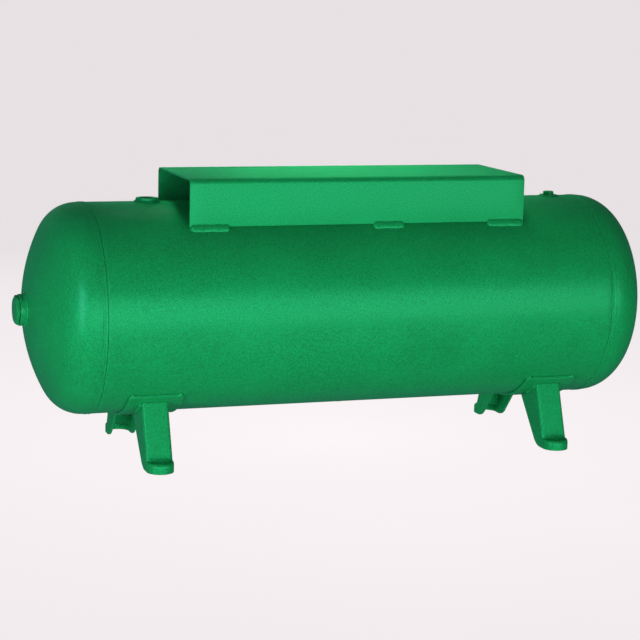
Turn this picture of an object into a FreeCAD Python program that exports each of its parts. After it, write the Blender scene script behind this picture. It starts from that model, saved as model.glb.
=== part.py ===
"""Horizontal air receiver: a welded pressure vessel on four stamped feet, with a pump platform on top.

The vessel's axis runs along X, Z is up, and the feet stand on Z = 0. Every shape is built
about the vessel's axis and lifted by axis_height when it is written.
"""

import FreeCAD, Part
import math
import os

Vec = FreeCAD.Vector
ORIGIN = Vec(0, 0, 0)
X_AXIS = Vec(1, 0, 0)
Y_AXIS = Vec(0, 1, 0)
Z_AXIS = Vec(0, 0, 1)

# General fits, in millimetres
seat_gap = 0.3            # between curved plates that rest on each other
thread_gap = 0.3          # radial room between a plug's shank and its tapped hole
edge_bevel = 1.5          # on couplings, the tall spud and the plugs
fine_bevel = 0.8          # on the low spuds and the drain plug
weld_root = 3.0           # depth of a weld's blank below the plate, before it is trimmed to the plate
hex_face_share = 0.92     # of a hexagon's size across flats, left round and flat by its corner bevel
hex_bevel_slope = 30.0    # degrees

# Vessel
shell_od = 508.0
shell_wall = 4.5
seam_spacing = 1291.0     # between the centres of the two girth welds
axis_height = 360.0
fittings_shift = 6.0      # the feet and the platform share a centre line, this far along +X

# Dished heads: outside radii of a 2:1 head, with a skirt joggled to slide into the shell
head_wall = 4.5
crown_radius = 438.0
knuckle_radius = 89.0
head_flange = 3.5         # straight part between the girth weld and the knuckle
skirt_length = 25.0

# Welds
girth_weld_width = 13.0
girth_weld_crown = 1.5
long_weld_width = 12.0
long_weld_root = 4.0
long_weld_crown = 1.5
long_weld_angle = 40.0    # from the top of the shell towards the back
ring_weld_leg = 5.0
pad_weld_leg = 5.5
pad_weld_overrun = 4.0
leg_weld_leg = 5.0
leg_weld_span = 12.5      # degrees round the pad
leg_weld_margin = 2.0     # degrees between a weld's upper end and the foot's web
platform_weld_up = 6.0
platform_weld_out = 8.5
platform_weld_bulge = 1.2
platform_end_weld = 98.0
platform_mid_weld = 80.0
platform_mid_weld_shift = 71.0

# Inspection openings in the heads
coupling_od = 76.0
coupling_length = 45.0
coupling_projection = 14.0
plug_thread_d = 59.0
plug_thread_length = 26.0
plug_hex = 63.5           # across flats
plug_head_height = 9.0
plug_standoff = 1.2
plug_hex_turn = 9.0       # degrees, of a corner from the horizontal

# Ports on top of the shell
spud_depth = 12.0         # inside the shell
open_port_inset = 157.0   # from the left girth weld
open_port_od = 54.0
open_port_height = 9.5
open_port_bore = 32.0
plugged_port_inset = 73.0 # from the right girth weld
plugged_port_od = 45.5
plugged_port_height = 3.0
top_plug_thread_d = 26.0
top_plug_thread_length = 15.0
top_plug_hex = 25.4
top_plug_head_height = 8.0
top_plug_standoff = 0.6
top_plug_hex_turn = 12.0  # degrees

# Drain at the bottom of the shell
drain_od = 40.0
drain_height = 2.5
drain_thread_d = 20.6
drain_plug_length = 12.0
drain_socket = 9.5        # across flats
drain_socket_depth = 7.0

# Platform: one plate bent into an upside-down channel
platform_length = 857.0
platform_width = 300.0
platform_rise = 68.5      # of its top face above the top of the shell
platform_plate = 5.0
platform_bend = 10.0      # outside radius

# Saddle pads between the shell and the feet
pad_plate = 6.0
pad_width = 134.0
pad_half_angle = 44.0
pad_corner = 8.0

# Stamped feet
foot_inset = 134.5        # from a girth weld to a foot's centre line, before the shift
leg_width = 65.0
leg_plate = 5.0
leg_bend = 8.0            # outside radius
web_margin = 5.5          # degrees of the pad left showing above the web
web_splay = 20.5          # degrees from the vertical
foot_height = 24.0
foot_centre_out = 2.3     # centre of the round front, outside the web's lower end
foot_edge_in = 16.5       # where a side flange reaches the floor, inside the web's lower end
flange_slope = 48.0       # degrees, of the back edge
flange_sweep = 50.0       # radius that leads the back edge into the floor
bolt_hole_d = 13.0
bolt_hole_out = 13.2      # from the centre of the round front

# Worked out from the sizes above
shell_r = shell_od / 2.0
shell_inner_r = shell_r - shell_wall
shell_half = (seam_spacing - girth_weld_width) / 2.0
skirt_r = shell_inner_r - seat_gap
joggle = shell_r - skirt_r
tangent_x = girth_weld_width / 2.0 + head_flange
crown_centre_x = tangent_x - math.sqrt((crown_radius - knuckle_radius) ** 2 - (shell_r - knuckle_radius) ** 2)
apex_x = crown_centre_x + crown_radius
pad_inner_r = shell_r + seat_gap
pad_outer_r = pad_inner_r + pad_plate
leg_top_r = pad_outer_r + seat_gap
platform_half = platform_width / 2.0
platform_top = shell_r + platform_rise
platform_foot = math.sqrt(shell_r ** 2 - (platform_half - platform_plate) ** 2) + seat_gap
seam_x = seam_spacing / 2.0
open_port_x = open_port_inset - seam_x
plugged_port_x = seam_x - plugged_port_inset
foot_reach = seam_x - foot_inset
foot_xs = {"left": fittings_shift - foot_reach, "right": fittings_shift + foot_reach}
web_angle = pad_half_angle - web_margin
web_top_y = pad_outer_r * math.sin(math.radians(web_angle))
web_top_z = -pad_outer_r * math.cos(math.radians(web_angle))
foot_top_z = foot_height - axis_height
web_foot_y = web_top_y + (web_top_z - foot_top_z) * math.tan(math.radians(web_splay))
foot_centre_y = web_foot_y + foot_centre_out
foot_edge_y = web_foot_y - foot_edge_in
bolt_hole_y = foot_centre_y + bolt_hole_out


def line(a, b):
    """Straight edge between two points."""
    return Part.LineSegment(a, b).toShape()


def arc(a, b, c):
    """Round edge from a through b to c."""
    return Part.Arc(a, b, c).toShape()


def outline(points):
    """Closed flat face with straight sides."""
    return Part.Face(Part.makePolygon(points + [points[0]]))


def face_of(edges):
    """Flat face inside a closed loop of edges."""
    return Part.Face(Part.Wire(edges))


def turned(face):
    """Solid of revolution about the vessel's axis."""
    return face.revolve(ORIGIN, X_AXIS, 360)


def turned_up(points):
    """Solid of revolution about Z, from (radius, height) points."""
    return outline([Vec(r, 0, z) for r, z in points]).revolve(ORIGIN, Z_AXIS, 360)


def cylinder_x(radius, x0, x1):
    """Round bar along the vessel's axis."""
    return Part.makeCylinder(radius, x1 - x0, Vec(x0, 0, 0), X_AXIS)


def along_x(face, x0, x1):
    """A face drawn in the plane X = 0, drawn out from x0 to x1."""
    solid = face.extrude(Vec(x1 - x0, 0, 0))
    solid.translate(Vec(x0, 0, 0))
    return solid


def polar(radius, degrees):
    """Point of the plane X = 0 at an angle from straight down, towards +Y."""
    a = math.radians(degrees)
    return Vec(0, radius * math.sin(a), -radius * math.cos(a))


def mirror_x(shape):
    """The same shape at the other end of the vessel."""
    return shape.mirror(ORIGIN, X_AXIS)


def mirror_y(shape):
    """The same shape on the front of the vessel."""
    return shape.mirror(ORIGIN, Y_AXIS)


def hexagon(across_flats, turn):
    """Corners of a hexagon about the origin, as (u, v) pairs, the first at an angle from u."""
    radius = across_flats / math.sqrt(3.0)
    angles = [math.radians(turn + 60.0 * k) for k in range(6)]
    return [(radius * math.cos(a), radius * math.sin(a)) for a in angles]


def in_head_frame(shape):
    """Moves a shape whose X = 0 is the right-hand girth weld's centre to its place."""
    shape.translate(Vec(seam_x, 0, 0))
    return shape


def arc_about(centre_x, centre_r, radius, start, end):
    """Arc in the plane Y = 0, between two angles in degrees measured from +X."""
    points = []
    for degrees in (start, (start + end) / 2.0, end):
        a = math.radians(degrees)
        points.append(Vec(centre_x + radius * math.cos(a), 0, centre_r + radius * math.sin(a)))
    return arc(*points)


def dome_edges(inset):
    """Knuckle and crown of the head's outline, offset inwards by inset, from the flange to the axis."""
    knuckle_r = shell_r - knuckle_radius
    blend = math.degrees(math.atan2(knuckle_r, tangent_x - crown_centre_x))
    knuckle = arc_about(tangent_x, knuckle_r, knuckle_radius - inset, 90.0, blend)
    crown = arc_about(crown_centre_x, 0.0, crown_radius - inset, blend, 0.0)
    return [knuckle, crown]


def dome_solid():
    """Solid block with the head's outside surface, for trimming what is welded to it."""
    start = Vec(0, 0, shell_r)
    tangent = Vec(tangent_x, 0, shell_r)
    edges = [line(start, tangent)] + dome_edges(0.0)
    edges += [line(Vec(apex_x, 0, 0), ORIGIN), line(ORIGIN, start)]
    return turned(face_of(edges))


def dome_x(radius):
    """Place along X of the head's outside surface, at a radius within the crown."""
    return crown_centre_x + math.sqrt(crown_radius ** 2 - radius ** 2)


def make_head():
    """Dished head with its joggled skirt and the hole for its coupling, at the right-hand end."""
    shoulder = girth_weld_width / 2.0
    inner_r = shell_r - head_wall
    corner_x = shoulder + head_wall * math.sqrt(2.0) - head_wall
    outer = [
        Vec(tangent_x, 0, shell_r),
        Vec(shoulder, 0, shell_r),
        Vec(shoulder - joggle, 0, skirt_r),
        Vec(-skirt_length, 0, skirt_r),
    ]
    inner = [
        Vec(-skirt_length, 0, skirt_r - head_wall),
        Vec(corner_x - joggle, 0, skirt_r - head_wall),
        Vec(corner_x, 0, inner_r),
        Vec(tangent_x, 0, inner_r),
    ]
    path = outer + inner
    edges = dome_edges(0.0)[::-1]
    edges += [line(a, b) for a, b in zip(path[:-1], path[1:])]
    edges += dome_edges(head_wall)
    edges.append(line(Vec(apex_x - head_wall, 0, 0), Vec(apex_x, 0, 0)))
    head = turned(face_of(edges))
    hole = cylinder_x(coupling_od / 2.0 + seat_gap, apex_x - coupling_length, apex_x + coupling_projection)
    return in_head_frame(head.cut(hole))


def make_girth_weld():
    """Weld that fills the groove over the skirt and stands a little proud of the shell."""
    half = girth_weld_width / 2.0
    edges = [
        line(Vec(-half, 0, skirt_r), Vec(-half, 0, shell_r)),
        arc(Vec(-half, 0, shell_r), Vec(0, 0, shell_r + girth_weld_crown), Vec(half, 0, shell_r)),
        line(Vec(half, 0, shell_r), Vec(half - joggle, 0, skirt_r)),
        line(Vec(half - joggle, 0, skirt_r), Vec(-half, 0, skirt_r)),
    ]
    return in_head_frame(turned(face_of(edges)))


def make_long_weld():
    """Seam weld of the rolled shell: root between the plate's edges, crown outside."""
    root = long_weld_root / 2.0
    face = long_weld_width / 2.0
    root_z = math.sqrt(shell_inner_r ** 2 - root ** 2)
    face_z = math.sqrt(shell_r ** 2 - face ** 2)
    edges = [
        line(Vec(0, -root, root_z), Vec(0, -face, face_z)),
        arc(Vec(0, -face, face_z), Vec(0, 0, shell_r + long_weld_crown), Vec(0, face, face_z)),
        line(Vec(0, face, face_z), Vec(0, root, root_z)),
        arc(Vec(0, root, root_z), Vec(0, 0, shell_inner_r), Vec(0, -root, root_z)),
    ]
    weld = along_x(face_of(edges), -shell_half, shell_half)
    weld.rotate(ORIGIN, X_AXIS, -long_weld_angle)
    return weld


def make_shell(long_weld):
    """Rolled shell with its seam's groove and the holes for its ports and drain."""
    shell = cylinder_x(shell_r, -shell_half, shell_half)
    shell = shell.cut(cylinder_x(shell_inner_r, -shell_half, shell_half))
    shell = shell.cut(long_weld)
    holes = [
        (open_port_x, open_port_od, 1),
        (plugged_port_x, plugged_port_od, 1),
        (fittings_shift, drain_od, -1),
    ]
    for x, diameter, side in holes:
        drill = Part.makeCylinder(diameter / 2.0 + seat_gap, shell_od, Vec(x, 0, 0), Vec(0, 0, side))
        shell = shell.cut(drill)
    return shell


def make_coupling():
    """Threaded half coupling through the middle of the right-hand head."""
    outer = apex_x + coupling_projection
    inner = outer - coupling_length
    bore = plug_thread_d / 2.0 + thread_gap
    radius = coupling_od / 2.0
    points = [
        Vec(inner, 0, bore),
        Vec(inner, 0, radius),
        Vec(outer - edge_bevel, 0, radius),
        Vec(outer, 0, radius - edge_bevel),
        Vec(outer, 0, bore + edge_bevel),
        Vec(outer - edge_bevel, 0, bore),
    ]
    return in_head_frame(turned(outline(points)))


def make_coupling_weld():
    """Fillet weld around the coupling, on the outside of the right-hand head."""
    radius = coupling_od / 2.0
    base = dome_x(radius)
    toe = dome_x(radius + ring_weld_leg)
    points = [
        Vec(base - weld_root, 0, radius),
        Vec(base + ring_weld_leg, 0, radius),
        Vec(toe, 0, radius + ring_weld_leg),
        Vec(toe - weld_root, 0, radius + ring_weld_leg),
    ]
    return in_head_frame(turned(outline(points)).cut(dome_solid()))


def make_hex_plug(thread_d, thread_length, hex_size, head_height, standoff, turn):
    """Hex-head pipe plug whose shank points down, with Z = 0 at the face that it screws into."""
    top = standoff + head_height
    radius = thread_d / 2.0
    neck = radius - fine_bevel
    shank_points = [
        (0, -thread_length),
        (radius - edge_bevel, -thread_length),
        (radius, -thread_length + edge_bevel),
        (radius, -fine_bevel),
        (neck, standoff),
        (0, standoff),
    ]
    corners = [Vec(u, v, standoff) for u, v in hexagon(hex_size, turn)]
    head = outline(corners).extrude(Vec(0, 0, head_height))
    # a turned bevel takes the hexagon's corners off at its outer face
    flat_r = hex_face_share * hex_size / 2.0
    reach = hex_size
    drop = (reach - flat_r) * math.tan(math.radians(hex_bevel_slope))
    blank = turned_up([(0, top - drop - head_height), (reach, top - drop - head_height), (reach, top - drop),
                       (flat_r, top), (0, top)])
    return turned_up(shank_points).fuse(head.common(blank)).removeSplitter()


def make_head_plug():
    """Plug of the right-hand coupling, its shank pointing into the vessel."""
    # after the half turn about Y below, a corner's angle is counted from the front of the vessel
    plug = make_hex_plug(plug_thread_d, plug_thread_length, plug_hex, plug_head_height, plug_standoff, 90.0)
    plug.rotate(ORIGIN, Y_AXIS, 90)
    plug.rotate(ORIGIN, X_AXIS, -plug_hex_turn)
    plug.translate(Vec(apex_x + coupling_projection, 0, 0))
    return in_head_frame(plug)


def make_spud(outer_d, bore_d, height, depth, bevel):
    """Ring with a tapped bore, whose Z = 0 is the shell's surface."""
    radius = outer_d / 2.0
    bore = bore_d / 2.0
    points = [(bore, -depth), (radius, -depth), (radius, height - bevel), (radius - bevel, height),
              (bore + bevel, height), (bore, height - bevel)]
    return turned_up(points)


def make_spud_weld(x, outer_d, leg, side):
    """Fillet weld around a spud, its toe following the round shell. side is 1 on top and -1 below."""
    radius = outer_d / 2.0
    # how far the round shell falls away from its highest line, under the toe
    fall = shell_r - math.sqrt(shell_r ** 2 - (radius + leg) ** 2)
    toe = radius + leg + fall
    points = [(radius, -fall - weld_root), (radius, leg), (toe, -fall), (toe, -fall - weld_root)]
    weld = turned_up(points)
    weld.translate(Vec(x, 0, shell_r))
    weld = weld.cut(cylinder_x(shell_r, -shell_half, shell_half))
    if side < 0:
        weld.rotate(Vec(x, 0, 0), X_AXIS, 180)
    return weld


def on_top(shape, x, height):
    """Moves a shape to the top of the shell, its Z = 0 at a height above it."""
    shape.translate(Vec(x, 0, shell_r + height))
    return shape


def below(shape, x, height):
    """Turns a shape upside down under the shell, its Z = 0 at a height below it."""
    shape.rotate(ORIGIN, X_AXIS, 180)
    shape.translate(Vec(x, 0, -shell_r - height))
    return shape


def make_drain_plug():
    """Recessed plug with a hexagon socket, flush with the drain spud."""
    radius = drain_thread_d / 2.0
    points = [
        (0, -drain_plug_length),
        (radius - fine_bevel, -drain_plug_length),
        (radius, -drain_plug_length + fine_bevel),
        (radius, -fine_bevel),
        (radius - fine_bevel, 0),
        (0, 0),
    ]
    socket = outline([Vec(u, v, -drain_socket_depth) for u, v in hexagon(drain_socket, 0.0)])
    return turned_up(points).cut(socket.extrude(Vec(0, 0, 2.0 * drain_socket_depth)))


def make_platform():
    """Bent plate, open at both ends, whose side edges stand on the shell."""
    w = platform_half
    top = platform_top
    bend = platform_bend
    plate = platform_plate
    foot = platform_foot
    side = w - bend
    knee = top - bend
    outer = bend * math.sqrt(0.5)
    inner = (bend - plate) * math.sqrt(0.5)
    edges = [
        line(Vec(0, -w, foot), Vec(0, -w, knee)),
        arc(Vec(0, -w, knee), Vec(0, -side - outer, knee + outer), Vec(0, -side, top)),
        line(Vec(0, -side, top), Vec(0, side, top)),
        arc(Vec(0, side, top), Vec(0, side + outer, knee + outer), Vec(0, w, knee)),
        line(Vec(0, w, knee), Vec(0, w, foot)),
        line(Vec(0, w, foot), Vec(0, w - plate, foot)),
        line(Vec(0, w - plate, foot), Vec(0, w - plate, knee)),
        arc(Vec(0, w - plate, knee), Vec(0, side + inner, knee + inner), Vec(0, side, top - plate)),
        line(Vec(0, side, top - plate), Vec(0, -side, top - plate)),
        arc(Vec(0, -side, top - plate), Vec(0, -side - inner, knee + inner), Vec(0, -w + plate, knee)),
        line(Vec(0, -w + plate, knee), Vec(0, -w + plate, foot)),
        line(Vec(0, -w + plate, foot), Vec(0, -w, foot)),
    ]
    half = platform_length / 2.0
    return along_x(face_of(edges), fittings_shift - half, fittings_shift + half)


def make_platform_welds():
    """Three stitch welds along the back edge of the platform."""
    w = platform_half
    toe_y = w + platform_weld_out
    upper = Vec(0, w, platform_foot + platform_weld_up)
    lower = Vec(0, toe_y, math.sqrt(shell_r ** 2 - toe_y ** 2))
    chord = lower.sub(upper)
    outward = Vec(0, -chord.z, chord.y)
    outward.normalize()
    middle = upper.add(lower).multiply(0.5).add(outward.multiply(platform_weld_bulge))
    inner_y = w - platform_plate
    deep_z = lower.z - weld_root
    edges = [
        arc(upper, middle, lower),
        line(lower, Vec(0, toe_y, deep_z)),
        line(Vec(0, toe_y, deep_z), Vec(0, inner_y, deep_z)),
        line(Vec(0, inner_y, deep_z), Vec(0, inner_y, platform_foot)),
        line(Vec(0, inner_y, platform_foot), Vec(0, w, platform_foot)),
        line(Vec(0, w, platform_foot), upper),
    ]
    section = face_of(edges)
    half = platform_length / 2.0
    middle_x = fittings_shift + platform_mid_weld_shift
    spans = [
        (fittings_shift - half, fittings_shift - half + platform_end_weld),
        (middle_x - platform_mid_weld / 2.0, middle_x + platform_mid_weld / 2.0),
        (fittings_shift + half - platform_end_weld, fittings_shift + half),
    ]
    vessel = cylinder_x(shell_r, -shell_half, shell_half)
    return [along_x(section, x0, x1).cut(vessel) for x0, x1 in spans]


def make_pad(x):
    """Saddle pad: a plate rolled round the underside of the shell, with round corners."""
    a = pad_half_angle
    edges = [
        arc(polar(pad_inner_r, -a), polar(pad_inner_r, 0), polar(pad_inner_r, a)),
        line(polar(pad_inner_r, a), polar(pad_outer_r, a)),
        arc(polar(pad_outer_r, a), polar(pad_outer_r, 0), polar(pad_outer_r, -a)),
        line(polar(pad_outer_r, -a), polar(pad_inner_r, -a)),
    ]
    pad = along_x(face_of(edges), x - pad_width / 2.0, x + pad_width / 2.0)
    corners = [e for e in pad.Edges if len(e.Vertexes) == 2 and abs(e.Length - pad_plate) < 0.01]
    return pad.makeFillet(pad_corner, corners)


def make_pad_weld(x):
    """Fillet weld along the pad's upper edge, at the back of the vessel."""
    a = pad_half_angle
    spread = math.degrees(pad_weld_leg / shell_r)
    points = [
        polar(shell_r - weld_root, a),
        polar(pad_inner_r + pad_weld_leg, a),
        polar(shell_r, a + spread),
        polar(shell_r - weld_root, a + spread),
    ]
    reach = pad_width / 2.0 - pad_corner + pad_weld_overrun
    weld = along_x(outline(points), x - reach, x + reach)
    return weld.cut(cylinder_x(shell_r, -shell_half, shell_half))


def web_y(z, inset):
    """Place of the web's face at a height, offset inwards by inset."""
    splay = math.radians(web_splay)
    return web_top_y + (web_top_z - z) * math.tan(splay) - inset / math.cos(splay)


def leg_block(inset):
    """Solid outside of a foot's stamping, offset inwards by inset: the upright and its round foot."""
    half = leg_width / 2.0 - inset
    bend = leg_bend - inset
    foot_top = foot_top_z - inset
    # the block starts inside the pad, well within the foot, and ends below the floor, to be trimmed later
    start_y = web_top_y / 4.0
    top_z = web_top_z / 2.0
    low_z = -axis_height - foot_height
    side = [
        Vec(0, start_y, top_z),
        Vec(0, web_y(top_z, inset), top_z),
        Vec(0, web_y(foot_top, inset), foot_top),
        Vec(0, web_y(foot_top, inset), low_z),
        Vec(0, start_y, low_z),
    ]
    upright = along_x(outline(side), -half, half)
    web_edges = []
    for edge in upright.Edges:
        ends = [v.Point for v in edge.Vertexes]
        along_side = all(abs(abs(p.x) - half) < 0.01 for p in ends) and ends[0].x * ends[1].x > 0
        on_web = all(abs(p.y - web_y(p.z, inset)) < 0.01 and p.z > foot_top - 0.01 for p in ends)
        if along_side and on_web:
            web_edges.append(edge)
    upright = upright.makeFillet(bend, web_edges)
    centre = foot_centre_y
    plan = [
        line(Vec(-half, start_y, low_z), Vec(-half, centre, low_z)),
        arc(Vec(-half, centre, low_z), Vec(0, centre + half, low_z), Vec(half, centre, low_z)),
        line(Vec(half, centre, low_z), Vec(half, start_y, low_z)),
        line(Vec(half, start_y, low_z), Vec(-half, start_y, low_z)),
    ]
    foot = face_of(plan).extrude(Vec(0, 0, foot_top - low_z))
    rim = []
    for edge in foot.Edges:
        ends = [v.Point for v in edge.Vertexes]
        at_top = all(abs(p.z - foot_top) < 0.01 for p in ends)
        if at_top and any(p.y > centre - 0.01 for p in ends):
            rim.append(edge)
    foot = foot.makeFillet(bend, rim)
    return upright.fuse(foot)


def make_leg(x):
    """Stamped foot at the back of the vessel: web outside, flanges inside, round foot at the floor."""
    stamping = leg_block(0.0).cut(leg_block(leg_plate))
    floor = -axis_height
    slope = math.radians(flange_slope)
    sweep_z = floor + flange_sweep
    sweep_end = Vec(0, foot_edge_y - flange_sweep * math.sin(slope), sweep_z - flange_sweep * math.cos(slope))
    mid_in = flange_sweep * math.sin(slope / 2.0)
    mid_down = flange_sweep * math.cos(slope / 2.0)
    sweep_mid = Vec(0, foot_edge_y - mid_in, sweep_z - mid_down)
    rise = -sweep_end.z
    top = Vec(0, sweep_end.y - rise / math.tan(slope), 0)
    far_y = shell_r + leg_width
    edges = [
        arc(Vec(0, foot_edge_y, floor), sweep_mid, sweep_end),
        line(sweep_end, top),
        line(top, Vec(0, far_y, 0)),
        line(Vec(0, far_y, 0), Vec(0, far_y, floor)),
        line(Vec(0, far_y, floor), Vec(0, foot_edge_y, floor)),
    ]
    side_view = along_x(face_of(edges), -leg_width, leg_width)
    leg = stamping.common(side_view).cut(cylinder_x(leg_top_r, -leg_width, leg_width))
    drill = Part.makeCylinder(bolt_hole_d / 2.0, foot_height, Vec(0, bolt_hole_y, floor), Z_AXIS)
    leg = leg.cut(drill)
    leg.translate(Vec(x, 0, 0))
    return leg


def make_leg_welds(x):
    """Two fillet welds that join a back foot's flanges to its pad."""
    half = leg_width / 2.0
    r = pad_outer_r
    section = outline([Vec(half, 0, -r), Vec(half + leg_weld_leg, 0, -r), Vec(half, 0, -r - leg_weld_leg)])
    section.rotate(ORIGIN, X_AXIS, web_angle - leg_weld_margin - leg_weld_span)
    weld = section.revolve(ORIGIN, X_AXIS, leg_weld_span)
    pair = [weld, mirror_x(weld)]
    for piece in pair:
        piece.translate(Vec(x, 0, 0))
    return pair


def write(name, shape):
    """Writes one node's STEP file, lifted so that the feet stand on Z = 0."""
    placed = shape.copy()
    placed.translate(Vec(0, 0, axis_height))
    placed.exportStep(os.path.join("parts", name + ".step"))


def write_group(name, shapes):
    """Writes several separate solids as one node."""
    write(name, Part.makeCompound(shapes))


def write_vessel():
    """Shell, heads and the welds that close the vessel."""
    head = make_head()
    weld = make_girth_weld()
    long_weld = make_long_weld()
    write("shell", make_shell(long_weld))
    write("longitudinal_weld", long_weld)
    write("head_right", head)
    write("head_left", mirror_x(head))
    write("girth_weld_right", weld)
    write("girth_weld_left", mirror_x(weld))


def write_inspection_openings():
    """Couplings, their welds and their plugs, at both ends."""
    coupling = make_coupling()
    weld = make_coupling_weld()
    plug = make_head_plug()
    write("head_coupling_right", coupling)
    write("head_coupling_left", mirror_x(coupling))
    write_group("coupling_welds", [weld, mirror_x(weld)])
    write("head_plug_right", plug)
    write("head_plug_left", mirror_x(plug))


def write_ports():
    """Open port, plugged port and drain, with their welds."""
    open_spud = make_spud(open_port_od, open_port_bore, open_port_height, spud_depth, edge_bevel)
    tapped = top_plug_thread_d + 2.0 * thread_gap
    plugged_spud = make_spud(plugged_port_od, tapped, plugged_port_height, spud_depth, fine_bevel)
    top_plug = make_hex_plug(top_plug_thread_d, top_plug_thread_length, top_plug_hex,
                             top_plug_head_height, top_plug_standoff, top_plug_hex_turn)
    drain_bore = drain_thread_d + 2.0 * thread_gap
    drain_spud = make_spud(drain_od, drain_bore, drain_height, spud_depth, fine_bevel)
    write("top_port_left", on_top(open_spud, open_port_x, 0.0))
    write("top_port_right", on_top(plugged_spud, plugged_port_x, 0.0))
    write("top_plug_right", on_top(top_plug, plugged_port_x, plugged_port_height))
    write("drain_spud", below(drain_spud, fittings_shift, 0.0))
    write("drain_plug", below(make_drain_plug(), fittings_shift, drain_height))
    write_group("port_welds", [
        make_spud_weld(open_port_x, open_port_od, ring_weld_leg, 1),
        make_spud_weld(plugged_port_x, plugged_port_od, plugged_port_height - fine_bevel, 1),
        make_spud_weld(fittings_shift, drain_od, drain_height - fine_bevel, -1),
    ])


def write_platform():
    """Platform and its stitch welds on both sides."""
    back_welds = make_platform_welds()
    write("mounting_platform", make_platform())
    write_group("platform_welds", back_welds + [mirror_y(weld) for weld in back_welds])


def write_feet():
    """Saddle pads, feet and their welds."""
    pad_welds = []
    leg_welds = []
    for side, x in foot_xs.items():
        write("saddle_pad_" + side, make_pad(x))
        back_leg = make_leg(x)
        write("leg_rear_" + side, back_leg)
        write("leg_front_" + side, mirror_y(back_leg))
        back_pad_weld = make_pad_weld(x)
        pad_welds += [back_pad_weld, mirror_y(back_pad_weld)]
        back_leg_welds = make_leg_welds(x)
        leg_welds += back_leg_welds + [mirror_y(weld) for weld in back_leg_welds]
    write_group("pad_welds", pad_welds)
    write_group("leg_welds", leg_welds)


os.makedirs("parts", exist_ok=True)
write_vessel()
write_inspection_openings()
write_ports()
write_platform()
write_feet()
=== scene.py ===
"""Looks of a horizontal air receiver: enamelled vessel, ports, plugs, pump platform and stamped feet."""
import logging
import math
from collections.abc import Callable
from dataclasses import dataclass, field
from enum import Enum

import bmesh
import bpy
import numpy as np
from mathutils import Matrix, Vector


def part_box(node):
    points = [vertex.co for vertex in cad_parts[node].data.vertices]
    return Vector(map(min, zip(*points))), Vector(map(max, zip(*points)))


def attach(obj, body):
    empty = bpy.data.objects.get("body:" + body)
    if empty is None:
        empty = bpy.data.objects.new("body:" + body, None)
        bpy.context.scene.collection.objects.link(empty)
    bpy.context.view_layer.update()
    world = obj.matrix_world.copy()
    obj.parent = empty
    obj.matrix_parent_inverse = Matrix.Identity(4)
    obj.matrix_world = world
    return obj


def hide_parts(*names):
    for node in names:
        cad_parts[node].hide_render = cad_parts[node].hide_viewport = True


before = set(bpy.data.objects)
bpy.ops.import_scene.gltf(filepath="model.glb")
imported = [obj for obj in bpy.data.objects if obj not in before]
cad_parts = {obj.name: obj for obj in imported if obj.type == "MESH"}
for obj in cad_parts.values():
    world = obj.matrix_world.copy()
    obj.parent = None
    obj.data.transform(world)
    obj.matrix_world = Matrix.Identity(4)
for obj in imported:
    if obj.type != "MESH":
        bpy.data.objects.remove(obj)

LOG = logging.getLogger("air_receiver")
MM = 0.001
TURN = 2.0 * math.pi
QUARTER = 0.5 * math.pi
SMOOTH_LIMIT = math.radians(38.0)
MERGE_DISTANCE = 2.0e-6

Triple = tuple[float, float, float]
Window = tuple[int, int, int, int]
Socket = bpy.types.NodeSocket
Material = bpy.types.Material
Piece = bpy.types.Object


class Body(Enum):
    """The rigid bodies that the pieces ride on."""

    VESSEL = "vessel"
    PLUG_LEFT = "plug_left"
    PLUG_RIGHT = "plug_right"
    PLUG_TOP = "plug_top"
    PLUG_DRAIN = "plug_drain"


class Slot(Enum):
    """The record's material slots."""

    PLATE = "green_enamel"
    WELD = "weld_enamel"
    PLUG = "plug_enamel"


class Side(Enum):
    """Which end of the vessel, as a sign along X."""

    LEFT = -1
    RIGHT = 1


class Flank(Enum):
    """Which side of the vessel, as a sign along Y."""

    FRONT = -1
    REAR = 1


# --------------------------------------------------------------------------- surfaces


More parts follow.
